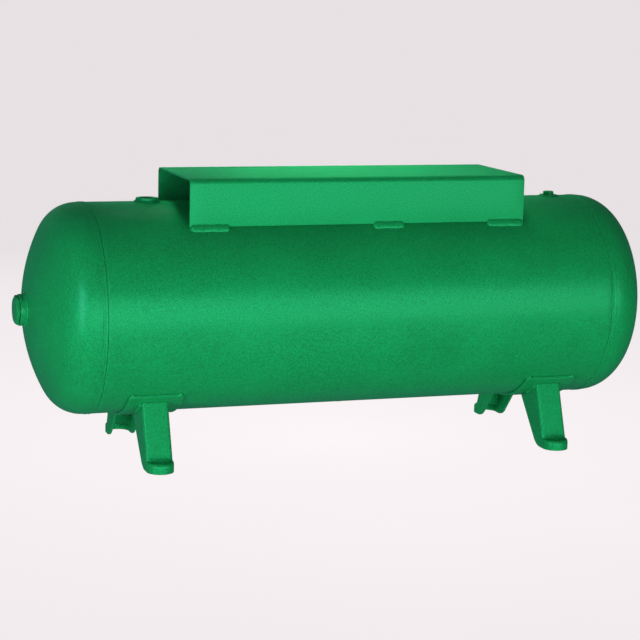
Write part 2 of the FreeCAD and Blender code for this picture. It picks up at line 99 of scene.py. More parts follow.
class Skin:
    """Grids of points that together make one piece's mesh."""

    def __init__(self) -> None:
        """Starts an empty skin."""
        self._points: list[np.ndarray] = []
        self._faces: list[np.ndarray] = []
        self._finishes: list[np.ndarray] = []
        self._count = 0

    def grid(
        self,
        points: np.ndarray,
        wrap_rows: bool = False,
        wrap_columns: bool = False,
        window: Window | None = None,
        finish: int = 0,
    ) -> "Skin":
        """Adds a grid of points, joined by four-sided faces.

        Args:
            points: Array of rows x columns x 3.
            wrap_rows: Joins the last row to the first.
            wrap_columns: Joins the last column to the first.
            window: First row, last row, first column and last column of the cells to leave out.
            finish: Number of the finish that the faces take.

        Returns:
            The skin itself.
        """
        rows, columns = points.shape[:2]
        index = np.arange(rows * columns).reshape(rows, columns) + self._count
        if wrap_rows:
            index = np.vstack([index, index[:1]])
        if wrap_columns:
            index = np.hstack([index, index[:, :1]])
        cells = np.stack([index[:-1, :-1], index[1:, :-1], index[1:, 1:], index[:-1, 1:]], axis=-1)
        keep = np.ones(cells.shape[:2], bool)
        if window is not None:
            keep[window[0]:window[1], window[2]:window[3]] = False
        faces = cells[keep]
        self._points.append(points.reshape(-1, 3))
        self._faces.append(faces)
        self._finishes.append(np.full(len(faces), finish))
        self._count += rows * columns
        return self

    def piece(self, name: str, finishes: list[Material]) -> Piece:
        """Makes the object: coincident points merged, faces turned outwards, smooth but for true edges.

        Args:
            name: Name of the piece.
            finishes: Materials, in the order of the finish numbers.

        Returns:
            The new object, at the origin.
        """
        points = np.concatenate(self._points)
        faces = np.concatenate(self._faces)
        mesh = bpy.data.meshes.new(name)
        mesh.vertices.add(len(points))
        mesh.vertices.foreach_set("co", points.astype(np.float32).ravel())
        mesh.loops.add(faces.size)
        mesh.loops.foreach_set("vertex_index", faces.astype(np.int32).ravel())
        mesh.polygons.add(len(faces))
        mesh.polygons.foreach_set("loop_start", np.arange(0, faces.size, 4, dtype=np.int32))
        for material in finishes:
            mesh.materials.append(material)
        mesh.polygons.foreach_set("material_index", np.concatenate(self._finishes).astype(np.int32))
        mesh.update(calc_edges=True)
        work = bmesh.new()
        work.from_mesh(mesh)
        bmesh.ops.remove_doubles(work, verts=work.verts, dist=MERGE_DISTANCE)
        bmesh.ops.recalc_face_normals(work, faces=work.faces)
        work.to_mesh(mesh)
        work.free()
        mesh.shade_smooth()
        mesh.set_sharp_from_angle(angle=SMOOTH_LIMIT)
        piece = bpy.data.objects.new(name, mesh)
        bpy.context.scene.collection.objects.link(piece)
        return piece


def stack(*parts: np.ndarray) -> np.ndarray:
    """Joins coordinate arrays, which may broadcast, into points along a new last axis."""
    return np.stack(np.broadcast_arrays(*parts), axis=-1)


def full_turn(steps: int) -> np.ndarray:
    """Even angles of a full turn, without the last, which repeats the first."""
    return np.linspace(0.0, TURN, steps + 1)[:-1]


def across_bead(count: int) -> np.ndarray:
    """Places across a bead from -1 to 1, as sines of even angles, so they crowd at the toes."""
    return np.sin(np.linspace(-QUARTER, QUARTER, count))


def way_along(path: np.ndarray) -> np.ndarray:
    """Distance from a path's start to each of its points."""
    step = np.linalg.norm(np.diff(path, axis=0), axis=1)
    return np.concatenate([[0.0], np.cumsum(step)])


def points_at(share: np.ndarray, path: np.ndarray) -> np.ndarray:
    """Points of a plane path at shares of its length.

    Args:
        share: Shares from 0 to 1.
        path: Array of points x 2.

    Returns:
        Array of shares x 2.
    """
    length = way_along(path)
    at = share * length[-1]
    return stack(np.interp(at, length, path[:, 0]), np.interp(at, length, path[:, 1]))


def smooth_step(share: np.ndarray) -> np.ndarray:
    """Three share squared less two share cubed, with share held between 0 and 1."""
    held = np.clip(share, 0.0, 1.0)
    return held * held * (3.0 - 2.0 * held)


def rounded_profile(corners: list[tuple[float, float]], radii: list[float], steps: int = 4) -> np.ndarray:
    """Line through corners, with an arc at each one.

    Each arc starts a tangent length, radius times the tangent of half the turn, before its corner. Its
    points lie at radius x sine along the incoming side and radius x (1 - cosine) across it.

    Args:
        corners: Points of the line, ends included.
        radii: Radius at each point, 0 at the ends.
        steps: Segments in each arc.

    Returns:
        Array of points x 2.
    """
    at = np.asarray(corners, float)
    before = np.diff(at, axis=0, prepend=2.0 * at[:1] - at[1:2])
    after = np.diff(at, axis=0, append=2.0 * at[-1:] - at[-2:-1])
    before /= np.linalg.norm(before, axis=1, keepdims=True)
    after /= np.linalg.norm(after, axis=1, keepdims=True)
    cross = before[:, 0] * after[:, 1] - before[:, 1] * after[:, 0]
    turn = np.arctan2(cross, (before * after).sum(axis=1))
    radius = np.asarray(radii, float)
    start = at - before * (radius * np.tan(np.abs(turn) / 2.0))[:, None]
    across = np.stack([-before[:, 1], before[:, 0]], axis=1) * np.sign(turn)[:, None]
    angle = np.abs(turn)[:, None] * np.linspace(0.0, 1.0, steps + 1)[None]
    along_part = (radius[:, None] * np.sin(angle))[..., None] * before[:, None]
    across_part = (radius[:, None] * (1.0 - np.cos(angle)))[..., None] * across[:, None]
    return (start[:, None] + along_part + across_part).reshape(-1, 2)


def rounded_polygon(sides: int, across_flats: float, corner: float, turn: float) -> np.ndarray:
    """Perimeter of a regular polygon with round corners.

    A corner's arc is centred half the size across flats less its radius out, divided by the cosine of half
    a side's angle. Points between the arcs divide the straight sides evenly.

    Args:
        sides: Number of sides.
        across_flats: Distance between opposite sides.
        corner: Radius of the corners.
        turn: Angle of the first corner.

    Returns:
        Array of points x 2, anticlockwise.
    """
    half = math.pi / sides
    middle = turn + TURN * np.arange(sides)[:, None] / sides
    out = (across_flats / 2.0 - corner) / math.cos(half)
    spread = np.linspace(-half, half, 7)[None]
    arc = stack(
        out * np.cos(middle) + corner * np.cos(middle + spread),
        out * np.sin(middle) + corner * np.sin(middle + spread),
    )
    share = np.linspace(0.0, 1.0, 14)[1:-1][None, :, None]
    side = arc[:, -1:] * (1.0 - share) + np.roll(arc, -1, axis=0)[:, :1] * share
    return np.concatenate([arc, side], axis=1).reshape(-1, 2)


@dataclass(frozen=True)
class Axis:
    """An axis that a piece is turned about: its foot, and the directions along and across it."""

    foot: Triple
    along: Triple
    zero: Triple

    def place(self, along: np.ndarray, radius: np.ndarray, angle: np.ndarray) -> np.ndarray:
        """Points at a distance along the axis, and at a radius and an angle from the zero direction.

        Args:
            along: Distance from the foot.
            radius: Distance from the axis.
            angle: Angle from the zero direction.

        Returns:
            Array of the broadcast shape x 3.
        """
        third = np.cross(self.along, self.zero)
        along, radius, angle = np.broadcast_arrays(along, radius, angle)
        return (
            np.asarray(self.foot)
            + along[..., None] * np.asarray(self.along)
            + (radius * np.cos(angle))[..., None] * np.asarray(self.zero)
            + (radius * np.sin(angle))[..., None] * third
        )


@dataclass(frozen=True)
class Thread:
    """A pipe thread's ridge: pitch, depth, and the stretch along the axis that carries it."""

    pitch: float
    depth: float
    start: float
    end: float
    samples_per_turn: int = 8

    def stretch(self) -> np.ndarray:
        """Places along the axis that are close enough together to show the thread's form."""
        turns = abs(self.end - self.start) / self.pitch
        return np.linspace(self.start, self.end, int(turns * self.samples_per_turn) + 2)

    def ridge(self, along: np.ndarray, angle: np.ndarray) -> np.ndarray:
        """Depth of cut: a triangle wave, clipped flat at crest and root, of along / pitch - angle / turn.

        It fades over one pitch at both ends of the stretch.

        Args:
            along: Places along the axis.
            angle: Angles round it.

        Returns:
            Depths, 0 at the crests.
        """
        phase = np.mod(along / self.pitch - angle / TURN, 1.0)
        wave = np.clip(1.3 * (2.0 * np.abs(2.0 * phase - 1.0) - 1.0), -1.0, 1.0)
        low, high = min(self.start, self.end), max(self.start, self.end)
        fade = np.clip(np.minimum(along - low, high - along) / self.pitch, 0.0, 1.0)
        return self.depth * 0.5 * (1.0 + wave) * smooth_step(fade)


@dataclass(frozen=True)
class Ripple:
    """The ripples of a weld bead: pitch along the bead, height, and how far they bow in its middle."""

    pitch: float = 4.2 * MM
    height: float = 0.16 * MM
    bow: float = 0.55

    def relief(self, along: np.ndarray, across: np.ndarray, wander: float) -> np.ndarray:
        """Height of the ripples, whose fronts are parabolas across the bead.

        The height is a sine of along / pitch + bow x across squared, sharpened by a second harmonic. Three
        slow sines of unlike length change its phase and size, as a hand or a machine does.

        Args:
            along: Distance along the bead.
            across: Place across the bead, from -1 to 1.
            wander: Phase that sets one bead's unevenness apart from another's.

        Returns:
            Array of heights.
        """
        drift = 0.35 * np.sin(along * 61.0 + wander) + 0.2 * np.sin(along * 143.0 + 2.0 * wander)
        size = 1.0 + 0.35 * np.sin(along * 37.0 + 3.0 * wander)
        phase = TURN * (along / self.pitch + self.bow * across ** 2) + drift
        return self.height * size * (np.sin(phase) + 0.35 * np.sin(2.0 * phase + 0.6))


def plate_edge(thickness: float, edge: float, steps: int = 4) -> np.ndarray:
    """Depths below a plate's outer face and retreats from its outline, round both edges of its rim.

    Each edge is a quarter circle: depth is edge x (1 - cosine) and retreat is edge x (1 - sine).

    Args:
        thickness: Thickness of the plate.
        edge: Radius of both edges.
        steps: Points on each edge.

    Returns:
        Array of depth and retreat, from the outer face to the inner one.
    """
    angle = np.linspace(0.0, QUARTER, steps)
    depth = edge * (1.0 - np.cos(angle))
    retreat = edge * (1.0 - np.sin(angle))
    return np.concatenate([np.stack([depth, retreat], 1), np.stack([thickness - depth, retreat], 1)[::-1]])


def rim_of(points: np.ndarray) -> np.ndarray:
    """The points round the outside of a grid, in order, each once."""
    return np.concatenate([points[0, :-1], points[:-1, -1], points[-1, :0:-1], points[:0:-1, 0]])


def plate(skin_at: Callable[[float, float], np.ndarray], thickness: float, edge: float, skin: Skin) -> Skin:
    """Closes a plate from the function that gives its skin.

    Args:
        skin_at: Gives the grid at a depth below the outer face and a retreat from the outline.
        thickness: Thickness of the plate.
        edge: Radius of its rim's edges.
        skin: The skin that the rim is added to, along with both faces.

    Returns:
        The skin.
    """
    skin.grid(skin_at(0.0, edge))
    skin.grid(skin_at(thickness, edge))
    return skin.grid(plate_rim(skin_at, thickness, edge), wrap_columns=True)


def plate_rim(skin_at: Callable[[float, float], np.ndarray], thickness: float, edge: float) -> np.ndarray:
    """The rounded rim of a plate, as one row of points for each depth."""
    return np.stack([rim_of(skin_at(depth, retreat)) for depth, retreat in plate_edge(thickness, edge)])


def window_rings(rim: np.ndarray, centre: tuple[float, float], radius: float, rings: int) -> np.ndarray:
    """Rings of plan points that lead from a round hole to the rim of the window around it.

    A point of the hole lies at the same angle from its centre as the rim's point, and rings share out the
    way between the two, closer together near the hole.

    Args:
        rim: Points of the window's rim, with x and y first.
        centre: The hole's centre in plan.
        radius: The hole's radius.
        rings: Number of rings, both ends included.

    Returns:
        Array of rings x points x 2.
    """
    plan = rim[:, :2] - np.asarray(centre)
    angle = np.arctan2(plan[:, 1], plan[:, 0])
    hole = radius * stack(np.cos(angle), np.sin(angle))
    share = (np.linspace(0.0, 1.0, rings) ** 1.4)[:, None, None]
    return hole * (1.0 - share) + plan * share + np.asarray(centre)


# --------------------------------------------------------------------------- finishes


class Shader:
    """A material's node tree, with short calls to add and join its nodes."""

    def __init__(self, name: str) -> None:
        """Makes a material with a principled surface.

        Args:
            name: Name of the material.
        """
        self.material = bpy.data.materials.new(name)
        self.material.use_nodes = True
        self.tree = self.material.node_tree
        self.surface = self.tree.nodes["Principled BSDF"]
        self.place = self.node("ShaderNodeTexCoord").outputs["Object"]

    def node(self, kind: str, **settings: object) -> bpy.types.Node:
        """Adds a node and sets its properties.

        Args:
            kind: Blender's name for the node.
            **settings: Properties of the node and their values.

        Returns:
            The node.
        """
        made = self.tree.nodes.new(kind)
        for key, value in settings.items():
            setattr(made, key, value)
        return made

    def join(self, source: Socket, target: Socket) -> None:
        """Links two sockets."""
        self.tree.links.new(source, target)

    def noise(self, scale: float, detail: float = 2.0, roughness: float = 0.5) -> Socket:
        """Noise on Object coordinates, with a scale in cells per metre.

        Args:
            scale: Cells per metre.
            detail: Finer layers that are added.
            roughness: Strength of each finer layer.

        Returns:
            Socket with the noise, from 0 to 1.
        """
        made = self.node("ShaderNodeTexNoise")
        self.join(self.place, made.inputs["Vector"])
        made.inputs["Scale"].default_value = scale
        made.inputs["Detail"].default_value = detail
        made.inputs["Roughness"].default_value = roughness
        return made.outputs["Fac"]

    def remap(self, value: Socket, low: float, high: float, out_low: float = 0.0,
              out_high: float = 1.0) -> Socket:
        """Value carried from one range to another, and held inside it.

        Args:
            value: The value.
            low: Start of its range.
            high: End of its range.
            out_low: What the start becomes.
            out_high: What the end becomes.

        Returns:
            Socket with the result.
        """
        made = self.node("ShaderNodeMapRange")
        self.join(value, made.inputs["Value"])
        ends = {"From Min": low, "From Max": high, "To Min": out_low, "To Max": out_high}
        for key, number in ends.items():
            made.inputs[key].default_value = number
        return made.outputs["Result"]

    def maths(self, operation: str, first: Socket, second: Socket | float) -> Socket:
        """Sum, product or other operation on two values.

        Args:
            operation: Blender's name for the operation.
            first: First value.
            second: Second value, a socket or a number.

        Returns:
            Socket with the result.
        """
        made = self.node("ShaderNodeMath", operation=operation)
        self.join(first, made.inputs[0])
        if isinstance(second, float):
            made.inputs[1].default_value = second
        else:
            self.join(second, made.inputs[1])
        return made.outputs["Value"]

    def mix(self, share: Socket, first: Socket | Triple, second: Socket | Triple) -> Socket:
        """Colour between two colours, by a share from 0 to 1.

        Args:
            share: Share of the second colour.
            first: Colour at 0, a socket or a triple.
            second: Colour at 1, a socket or a triple.

        Returns:
            Socket with the colour.
        """
        made = self.node("ShaderNodeMix", data_type="RGBA")
        self.join(share, made.inputs["Factor"])
        sockets = [socket for socket in made.inputs if socket.type == "RGBA"]
        for value, socket in zip((first, second), sockets):
            if isinstance(value, tuple):
                socket.default_value = (*value, 1.0)
            else:
                self.join(value, socket)
        return [socket for socket in made.outputs if socket.type == "RGBA"][0]

    def bump(self, height: Socket, distance: float, under: Socket | None = None) -> Socket:
        """Normal raised by a height from 0 to 1 times a distance in metres.

        Args:
            height: Height from 0 to 1.
            distance: Size of the whole height in metres.
            under: Normal that is already raised, if any.

        Returns:
            Socket with the normal.
        """
        made = self.node("ShaderNodeBump")
        made.inputs["Distance"].default_value = distance
        self.join(height, made.inputs["Height"])
        if under is not None:
            self.join(under, made.inputs["Normal"])
        return made.outputs["Normal"]


@dataclass(frozen=True)
class Enamel:
    """Sprayed enamel on steel: colour, gloss, orange peel, settled dust, and edges lightened as thinned
    enamel and as a painted highlight.
    """

    name: str
    colour: Triple = (0.0050, 0.245, 0.062)
    deep: Triple = (0.0045, 0.140, 0.038)
    # Edge colour: thinned enamel and a painted highlight along the edges.
    thin_and_lit: Triple = (0.016, 0.330, 0.120)
    sheen_tint: Triple = (0.03, 1.0, 0.42)
    gloss: float = 0.33
    peel_cells: float = 260.0
    peel_depth: float = 0.085 * MM
    grain_cells: float = 300.0
    mottle_cells: float = 6.0
    speckle_cells: float = 1500.0
    wave_cells: float = 7.0
    waviness: float = 0.30 * MM
    slow_share: float = 0.15
    fine_share: float = 0.85
    tone_range: tuple[float, float] = (0.38, 0.62)
    raised_range: tuple[float, float] = (0.515, 0.60)
    most_thin_and_lit: float = 0.55
    index: float = 1.45
    sheen: float = 0.8
    coat: float = 0.04
    coat_blur: float = 0.24

    def material(self) -> Material:
        """Builds the material.

        Returns:
            The material, with its base colour mottled by slow noise, lighter on raised edges, its roughness
            varied by finer noise, and its normal raised by slow waves and by orange peel.
        """
        made = Shader(self.name)
        surface = made.surface
        slow = made.noise(self.mottle_cells, 2.0, 0.5)
        fine = made.noise(self.grain_cells, 2.0, 0.6)
        speckle = made.noise(self.speckle_cells, 2.0, 0.65)
        slow_part = made.maths("MULTIPLY", slow, self.slow_share)
        tone = made.maths("ADD", slow_part, made.maths("MULTIPLY", fine, self.fine_share))
        colour = made.mix(made.remap(tone, *self.tone_range), self.deep, self.colour)
        # Pointiness lightens the edges: partly thinned enamel, partly a painted highlight along the edges.
        edge = made.node("ShaderNodeNewGeometry").outputs["Pointiness"]
        raised = made.remap(edge, *self.raised_range, 0.0, self.most_thin_and_lit)
        worn_and_lit = made.maths("MULTIPLY", raised, made.remap(speckle, 0.35, 0.6, 0.3, 1.0))
        colour = made.mix(worn_and_lit, colour, self.thin_and_lit)
        made.join(colour, surface.inputs["Base Color"])
        slow_gloss = made.remap(slow, 0.3, 0.7, self.gloss - 0.04, self.gloss + 0.05)
        rough = made.maths("ADD", slow_gloss, made.remap(speckle, 0.3, 0.7, -0.03, 0.04))
        made.join(rough, surface.inputs["Roughness"])
        waves = made.bump(made.noise(self.wave_cells, 1.0, 0.4), self.waviness)
        peel = made.noise(self.peel_cells, 2.0, 0.5)
        made.join(made.bump(peel, self.peel_depth, waves), surface.inputs["Normal"])
        surface.inputs["IOR"].default_value = self.index
        surface.inputs["Specular IOR Level"].default_value = self.sheen
        surface.inputs["Specular Tint"].default_value = (*self.sheen_tint, 1.0)
        surface.inputs["Coat Weight"].default_value = self.coat
        surface.inputs["Coat Roughness"].default_value = self.coat_blur
        return made.material


@dataclass(frozen=True)
class CutSteel:
    """Bare cut steel in threads and bores, darkened by cutting oil."""

    name: str
    colour: Triple = (0.20, 0.19, 0.18)
    oiled: Triple = (0.07, 0.065, 0.06)

    def material(self) -> Material:
        """Builds the material.

        Returns:
            The material, a metal whose colour and roughness follow smears of oil.
        """
        made = Shader(self.name)
        smear = made.noise(140.0, 3.0, 0.6)
        grit = made.noise(2400.0, 2.0, 0.6)
        share = made.remap(smear, 0.35, 0.65)
        made.join(made.mix(share, self.oiled, self.colour), made.surface.inputs["Base Color"])
        made.join(made.remap(smear, 0.3, 0.7, 0.28, 0.5), made.surface.inputs["Roughness"])
        made.join(made.bump(grit, 0.012 * MM), made.surface.inputs["Normal"])
        made.surface.inputs["Metallic"].default_value = 1.0
        return made.material


@dataclass
class Finishes:
    """The finishes, built once and shared."""

    plate: Material = field(init=False)
    weld: Material = field(init=False)
    fitting: Material = field(init=False)
    thread: Material = field(init=False)

    def __post_init__(self) -> None:
        """Builds the materials; welds and fittings have a finer peel and no waves."""
        self.plate = Enamel("plate_enamel").material()
        self.weld = Enamel("bead_enamel", gloss=0.30, peel_cells=700.0, waviness=0.0).material()
        self.fitting = Enamel("fitting_enamel", gloss=0.32, peel_cells=560.0, waviness=0.0).material()
        self.thread = CutSteel("cut_thread").material()


def dress(piece: Piece, body: Body, slot: Slot, *nodes: str) -> None:
    """Lets a piece ride on its body, in the place of its CAD nodes, and reports it.

    Args:
        piece: The finished object.
        body: The body that it rides on.
        slot: The record's slot; not used.
        *nodes: The CAD nodes that it stands for.
    """
    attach(piece, body.value)
    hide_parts(*nodes)
    LOG.info("%s: %d faces on %s for %s", piece.name, len(piece.data.polygons), body.value, ", ".join(nodes))


# --------------------------------------------------------------------------- the vessel


@dataclass
class Layout:
    """Places and main sizes, read from the frame."""

    radius: float = 0.0
    axis_z: float = 0.0
    shell_half: float = 0.0
    seam_x: float = 0.0

    def __post_init__(self) -> None:
        """Reads the shell's and the girth weld's boxes."""
        low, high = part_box("shell")
        self.radius = (high.z - low.z) / 2.0
        self.axis_z = (high.z + low.z) / 2.0
        self.shell_half = (high.x - low.x) / 2.0
        weld_low, weld_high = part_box("girth_weld_right")
        self.seam_x = (weld_low.x + weld_high.x) / 2.0

    def middle(self, node: str) -> np.ndarray:
        """Centre of a node's box."""
        low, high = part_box(node)
        return (np.array(low) + np.array(high)) / 2.0

    def size(self, node: str) -> np.ndarray:
        """Length, width and height of a node's box."""
        low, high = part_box(node)
        return np.array(high) - np.array(low)

    def on_shell(self, x: np.ndarray, y: np.ndarray, radius: float, side: float) -> np.ndarray:
        """Points of a cylinder about the vessel's axis, above (side 1) or below (side -1) places in plan.

        The height over the axis is the root of radius squared less y squared.
        """
        rise = np.sqrt(np.maximum(radius ** 2 - y ** 2, 0.0))
        return stack(x, y, self.axis_z + side * rise)

    def round_axis(self, x: np.ndarray, angle: np.ndarray, radius: np.ndarray) -> np.ndarray:
        """Points round the vessel's axis, at angles from the top towards the back."""
        return stack(x, radius * np.sin(angle), self.axis_z + radius * np.cos(angle))


@dataclass
class Port:
    """A round port: its place along the vessel, the radius of its spud and which side it is on."""

    x: float
    radius: float
    side: float


@dataclass
class Vessel:
    """Rolled shell, dished heads and the welds that close them."""

    layout: Layout
    finishes: Finishes
    wall: float = 4.5 * MM
    seat_gap: float = 0.3 * MM
    end_edge: float = 1.1 * MM
    hole_gap: float = 0.3 * MM
    window_half: float = 42.0 * MM
    window_steps: int = 14
    flank_steps: int = 58
    hole_rings: int = 6
    crown_radius: float = 438.0 * MM
    knuckle_radius: float = 89.0 * MM
    flange: float = 3.5 * MM
    weld_width: float = 13.0 * MM
    weld_crown: float = 1.45 * MM
    toe_groove: float = 0.35 * MM
    foot_offsets: Triple = (1.2, -2.0, -5.8)
    skirt: float = 25.0 * MM
    joggle_bend: float = 3.0 * MM
    skirt_edge: float = 0.6 * MM
    long_weld_angle: float = math.radians(40.0)
    long_weld_width: float = 12.0 * MM
    long_weld_crown: float = 1.5 * MM
    ripple: Ripple = field(default_factory=Ripple)

    def ports(self) -> list[Port]:
        """The three ports that pierce the shell, read from the frame.

        Returns:
            Left port, right port and drain.
        """
        made = []
        for node, side in (("top_port_left", 1.0), ("top_port_right", 1.0), ("drain_spud", -1.0)):
            made.append(Port(self.layout.middle(node)[0], self.layout.size(node)[0] / 2.0, side))
        return made

    def build(self) -> None:
        """Builds and dresses the shell, both heads and their welds."""
        dress(self.shell(), Body.VESSEL, Slot.PLATE, "shell")
        dress(self.long_weld(), Body.VESSEL, Slot.WELD, "longitudinal_weld")
        for side in (Side.LEFT, Side.RIGHT):
            name = side.name.lower()
            dress(self.head(side), Body.VESSEL, Slot.PLATE, "head_" + name)
            dress(self.girth_weld(side), Body.VESSEL, Slot.WELD, "girth_weld_" + name)

    def _shell_stations(self, ports: list[Port]) -> tuple[np.ndarray, np.ndarray]:
        """Places along the shell and angles round it, both closer together at the ports' windows.

        Args:
            ports: The ports that have windows.

        Returns:
            Places along X and angles from the top, both in order.
        """
        half = self.layout.shell_half
        reach_x, count = self.window_half, self.window_steps + 1
        fine = [np.linspace(port.x - reach_x, port.x + reach_x, count) for port in ports]
        coarse = np.linspace(-half, half, 90)
        inside = np.min([np.abs(coarse - port.x) for port in ports], axis=0) < reach_x + 4.0 * MM
        along = np.unique(np.concatenate([coarse[~inside], *fine]))
        reach = math.asin(self.window_half / self.layout.radius)
        window = np.linspace(-reach, reach, count)
        flank = np.linspace(reach, math.pi - reach, self.flank_steps + 2)[1:-1]
        return along, np.concatenate([window, flank, window + math.pi, flank + math.pi])

    def shell(self) -> Piece:
        """Rolled plate as a wall between two cylinders, with a round hole for each port.

        Both cylinders are grids of place along the axis and angle round it. A window of cells around each
        port gives way to rings that run from its hole to the window's rim, laid on the cylinder.

        Returns:
            The rolled shell.
        """
        ports = self.ports()
        along, angle = self._shell_stations(ports)
        place = self.layout
        skin = Skin()
        half, edge = place.shell_half, self.end_edge
        rim = plate_edge(self.wall, edge)
        scaled = along * (half - edge) / half
        faces = [
            place.round_axis(scaled[:, None], angle[None], np.array(place.radius - depth))
            for depth in (0.0, self.wall)
        ]
        windows = []
        for port in ports:
            rows = np.flatnonzero(np.abs(along - port.x) < self.window_half + 1.0e-6)
            first = 0 if port.side > 0 else self.window_steps + 1 + self.flank_steps
            windows.append((rows[0], rows[-1], first, first + self.window_steps))
        for grid in faces:
            self._grid_with_windows(skin, grid, windows)
        for end in (-1.0, 1.0):
            radii = place.radius - rim[:, 0]
            places = end * (half - rim[:, 1])
            skin.grid(place.round_axis(places[:, None], angle[None], radii[:, None]), wrap_columns=True)
        for port, window in zip(ports, windows):
            self._port_hole(skin, port, window, faces)
        return skin.piece("rolled_shell", [self.finishes.plate])

    def _grid_with_windows(self, skin: Skin, grid: np.ndarray, windows: list[Window]) -> None:
        """Adds a cylinder as bands along its length, so that each band leaves out at most one window.

        Args:
            skin: The skin that the bands are added to.
            grid: Points of the cylinder.
            windows: Cells that are left out for each port.
        """
        start = 0
        for window in sorted(windows):
            if window[0] > start:
                skin.grid(grid[start:window[0] + 1], wrap_columns=True)
            band = grid[window[0]:window[1] + 1]
            skin.grid(band, wrap_columns=True, window=(0, window[1] - window[0], window[2], window[3]))
            start = window[1]
        skin.grid(grid[start:], wrap_columns=True)

    def _port_hole(self, skin: Skin, port: Port, window: Window, faces: list[np.ndarray]) -> None:
        """Adds the rings around one port's hole, on both cylinders, and the wall of the hole.

        Args:
            skin: The skin that the rings are added to.
            port: The port.
            window: Cells that are left out for it.
            faces: Outer and inner cylinder.
        """
        place = self.layout
        hole = port.radius + self.hole_gap
        edges = []
        for grid, depth in zip(faces, (0.0, self.wall)):
            rim = rim_of(grid[window[0]:window[1] + 1, window[2]:window[3] + 1])
            plan = window_rings(rim, (port.x, 0.0), hole, self.hole_rings)
            rings = place.on_shell(plan[..., 0], plan[..., 1], place.radius - depth, port.side)
            skin.grid(rings, wrap_columns=True)
            edges.append(rings[0])
        skin.grid(np.stack(edges), wrap_columns=True)

    def dome(self, inset: float, steps: int = 34) -> np.ndarray:
        """Knuckle and crown of a head, offset inwards, from its flange to its middle.

        Both are arcs. The knuckle's centre lies its radius inside the flange, and the crown's centre lies
        on the axis, where the two arcs share a tangent.

        Args:
            inset: Depth below the outer face.
            steps: Points on the knuckle; the crown has 13 more.

        Returns:
            Array of distance from the seam and radius.
        """
        tangent = self.weld_width / 2.0 + self.flange
        knuckle_r = self.layout.radius - self.knuckle_radius
        centre_x = tangent - math.sqrt((self.crown_radius - self.knuckle_radius) ** 2 - knuckle_r ** 2)
        blend = math.atan2(knuckle_r, tangent - centre_x)
        turn = np.linspace(QUARTER, blend, steps)
        sweep = np.linspace(blend, 0.0, steps + 14)[1:]
        knuckle, crown = self.knuckle_radius - inset, self.crown_radius - inset
        return np.concatenate([
            stack(tangent + knuckle * np.cos(turn), knuckle_r + knuckle * np.sin(turn)),
            stack(centre_x + crown * np.cos(sweep), crown * np.sin(sweep)),
        ])

    def head(self, side: Side) -> Piece:
        """Dished head with its joggled skirt, turned about the vessel's axis, open at its coupling.

        Args:
            side: Which end.

        Returns:
            The head.
        """
        radius, edge = self.layout.radius, self.end_edge
        shoulder = self.weld_width / 2.0
        skirt_r = radius - self.wall - self.seat_gap
        joggle = radius - skirt_r
        hole = self.layout.size("head_coupling_right")[1] / 2.0 + self.hole_gap
        outside, inside = self.dome(0.0), self.dome(self.wall)
        outside, inside = outside[outside[:, 1] > hole], inside[inside[:, 1] > hole]
        corner = shoulder + self.wall * (math.sqrt(2.0) - 1.0)
        inner_r = skirt_r - self.wall
        step = (shoulder - joggle, skirt_r)
        skirt = rounded_profile(
            [(shoulder, radius), step, (-self.skirt, skirt_r), (-self.skirt, inner_r),
             (corner - joggle, inner_r), (corner, radius - self.wall)],
            [0.0, self.joggle_bend, self.skirt_edge, self.skirt_edge, self.joggle_bend, 0.0])
        lip = rounded_profile([tuple(outside[0]), (shoulder, radius), step], [0.0, edge, 0.0])
        profile = np.concatenate([
            [(outside[-1, 0], hole)], outside[::-1], lip[5:10], skirt[5:-1], inside, [(inside[-1, 0], hole)],
        ])
        angle = full_turn(256)
        along = side.value * (self.layout.seam_x + profile[:, :1])
        body = self.layout.round_axis(along, angle[None], profile[:, 1:])
        skin = Skin().grid(body, wrap_rows=True, wrap_columns=True)
        return skin.piece("dished_head_" + side.name.lower(), [self.finishes.plate])

    def girth_weld(self, side: Side) -> Piece:
        """Machine-laid bead in the groove between shell and head.

        A grid of angle and place across the bead. Its height is the crown x (1 - across to the tenth) x
        (0.5 + 0.55 x across squared) plus ripples: low in the middle, with a lip at each toe and a fine
        groove beyond it. Its foot reaches down to the skirt.

        Args:
            side: Which end.

        Returns:
            The bead.
        """
        place = self.layout
        groove = self.toe_groove
        half = self.weld_width / 2.0 - groove
        angle = full_turn(1800)[:, None]
        across = across_bead(19)[None]
        wander = 1.3 * side.value + 2.0
        width = half * (1.0 + 0.012 * np.sin(9.0 * angle + wander) + 0.008 * np.sin(23.0 * angle))
        flat = (1.0 - across ** 10) * (0.5 + 0.55 * across ** 2)
        relief = self.ripple.relief(angle * place.radius, across, wander) * (1.0 - across ** 4)
        height = -groove + (self.weld_crown + groove) * flat + relief
        top = place.round_axis(side.value * (place.seam_x + width * across), angle, place.radius + height)
        foot_x = side.value * (place.seam_x + MM * np.array([self.foot_offsets]))
        foot = place.round_axis(foot_x, angle, np.array(place.radius - self.wall))
        skin = Skin().grid(np.concatenate([top, foot], axis=1), wrap_rows=True, wrap_columns=True)
        return skin.piece("girth_bead_" + side.name.lower(), [self.finishes.weld])

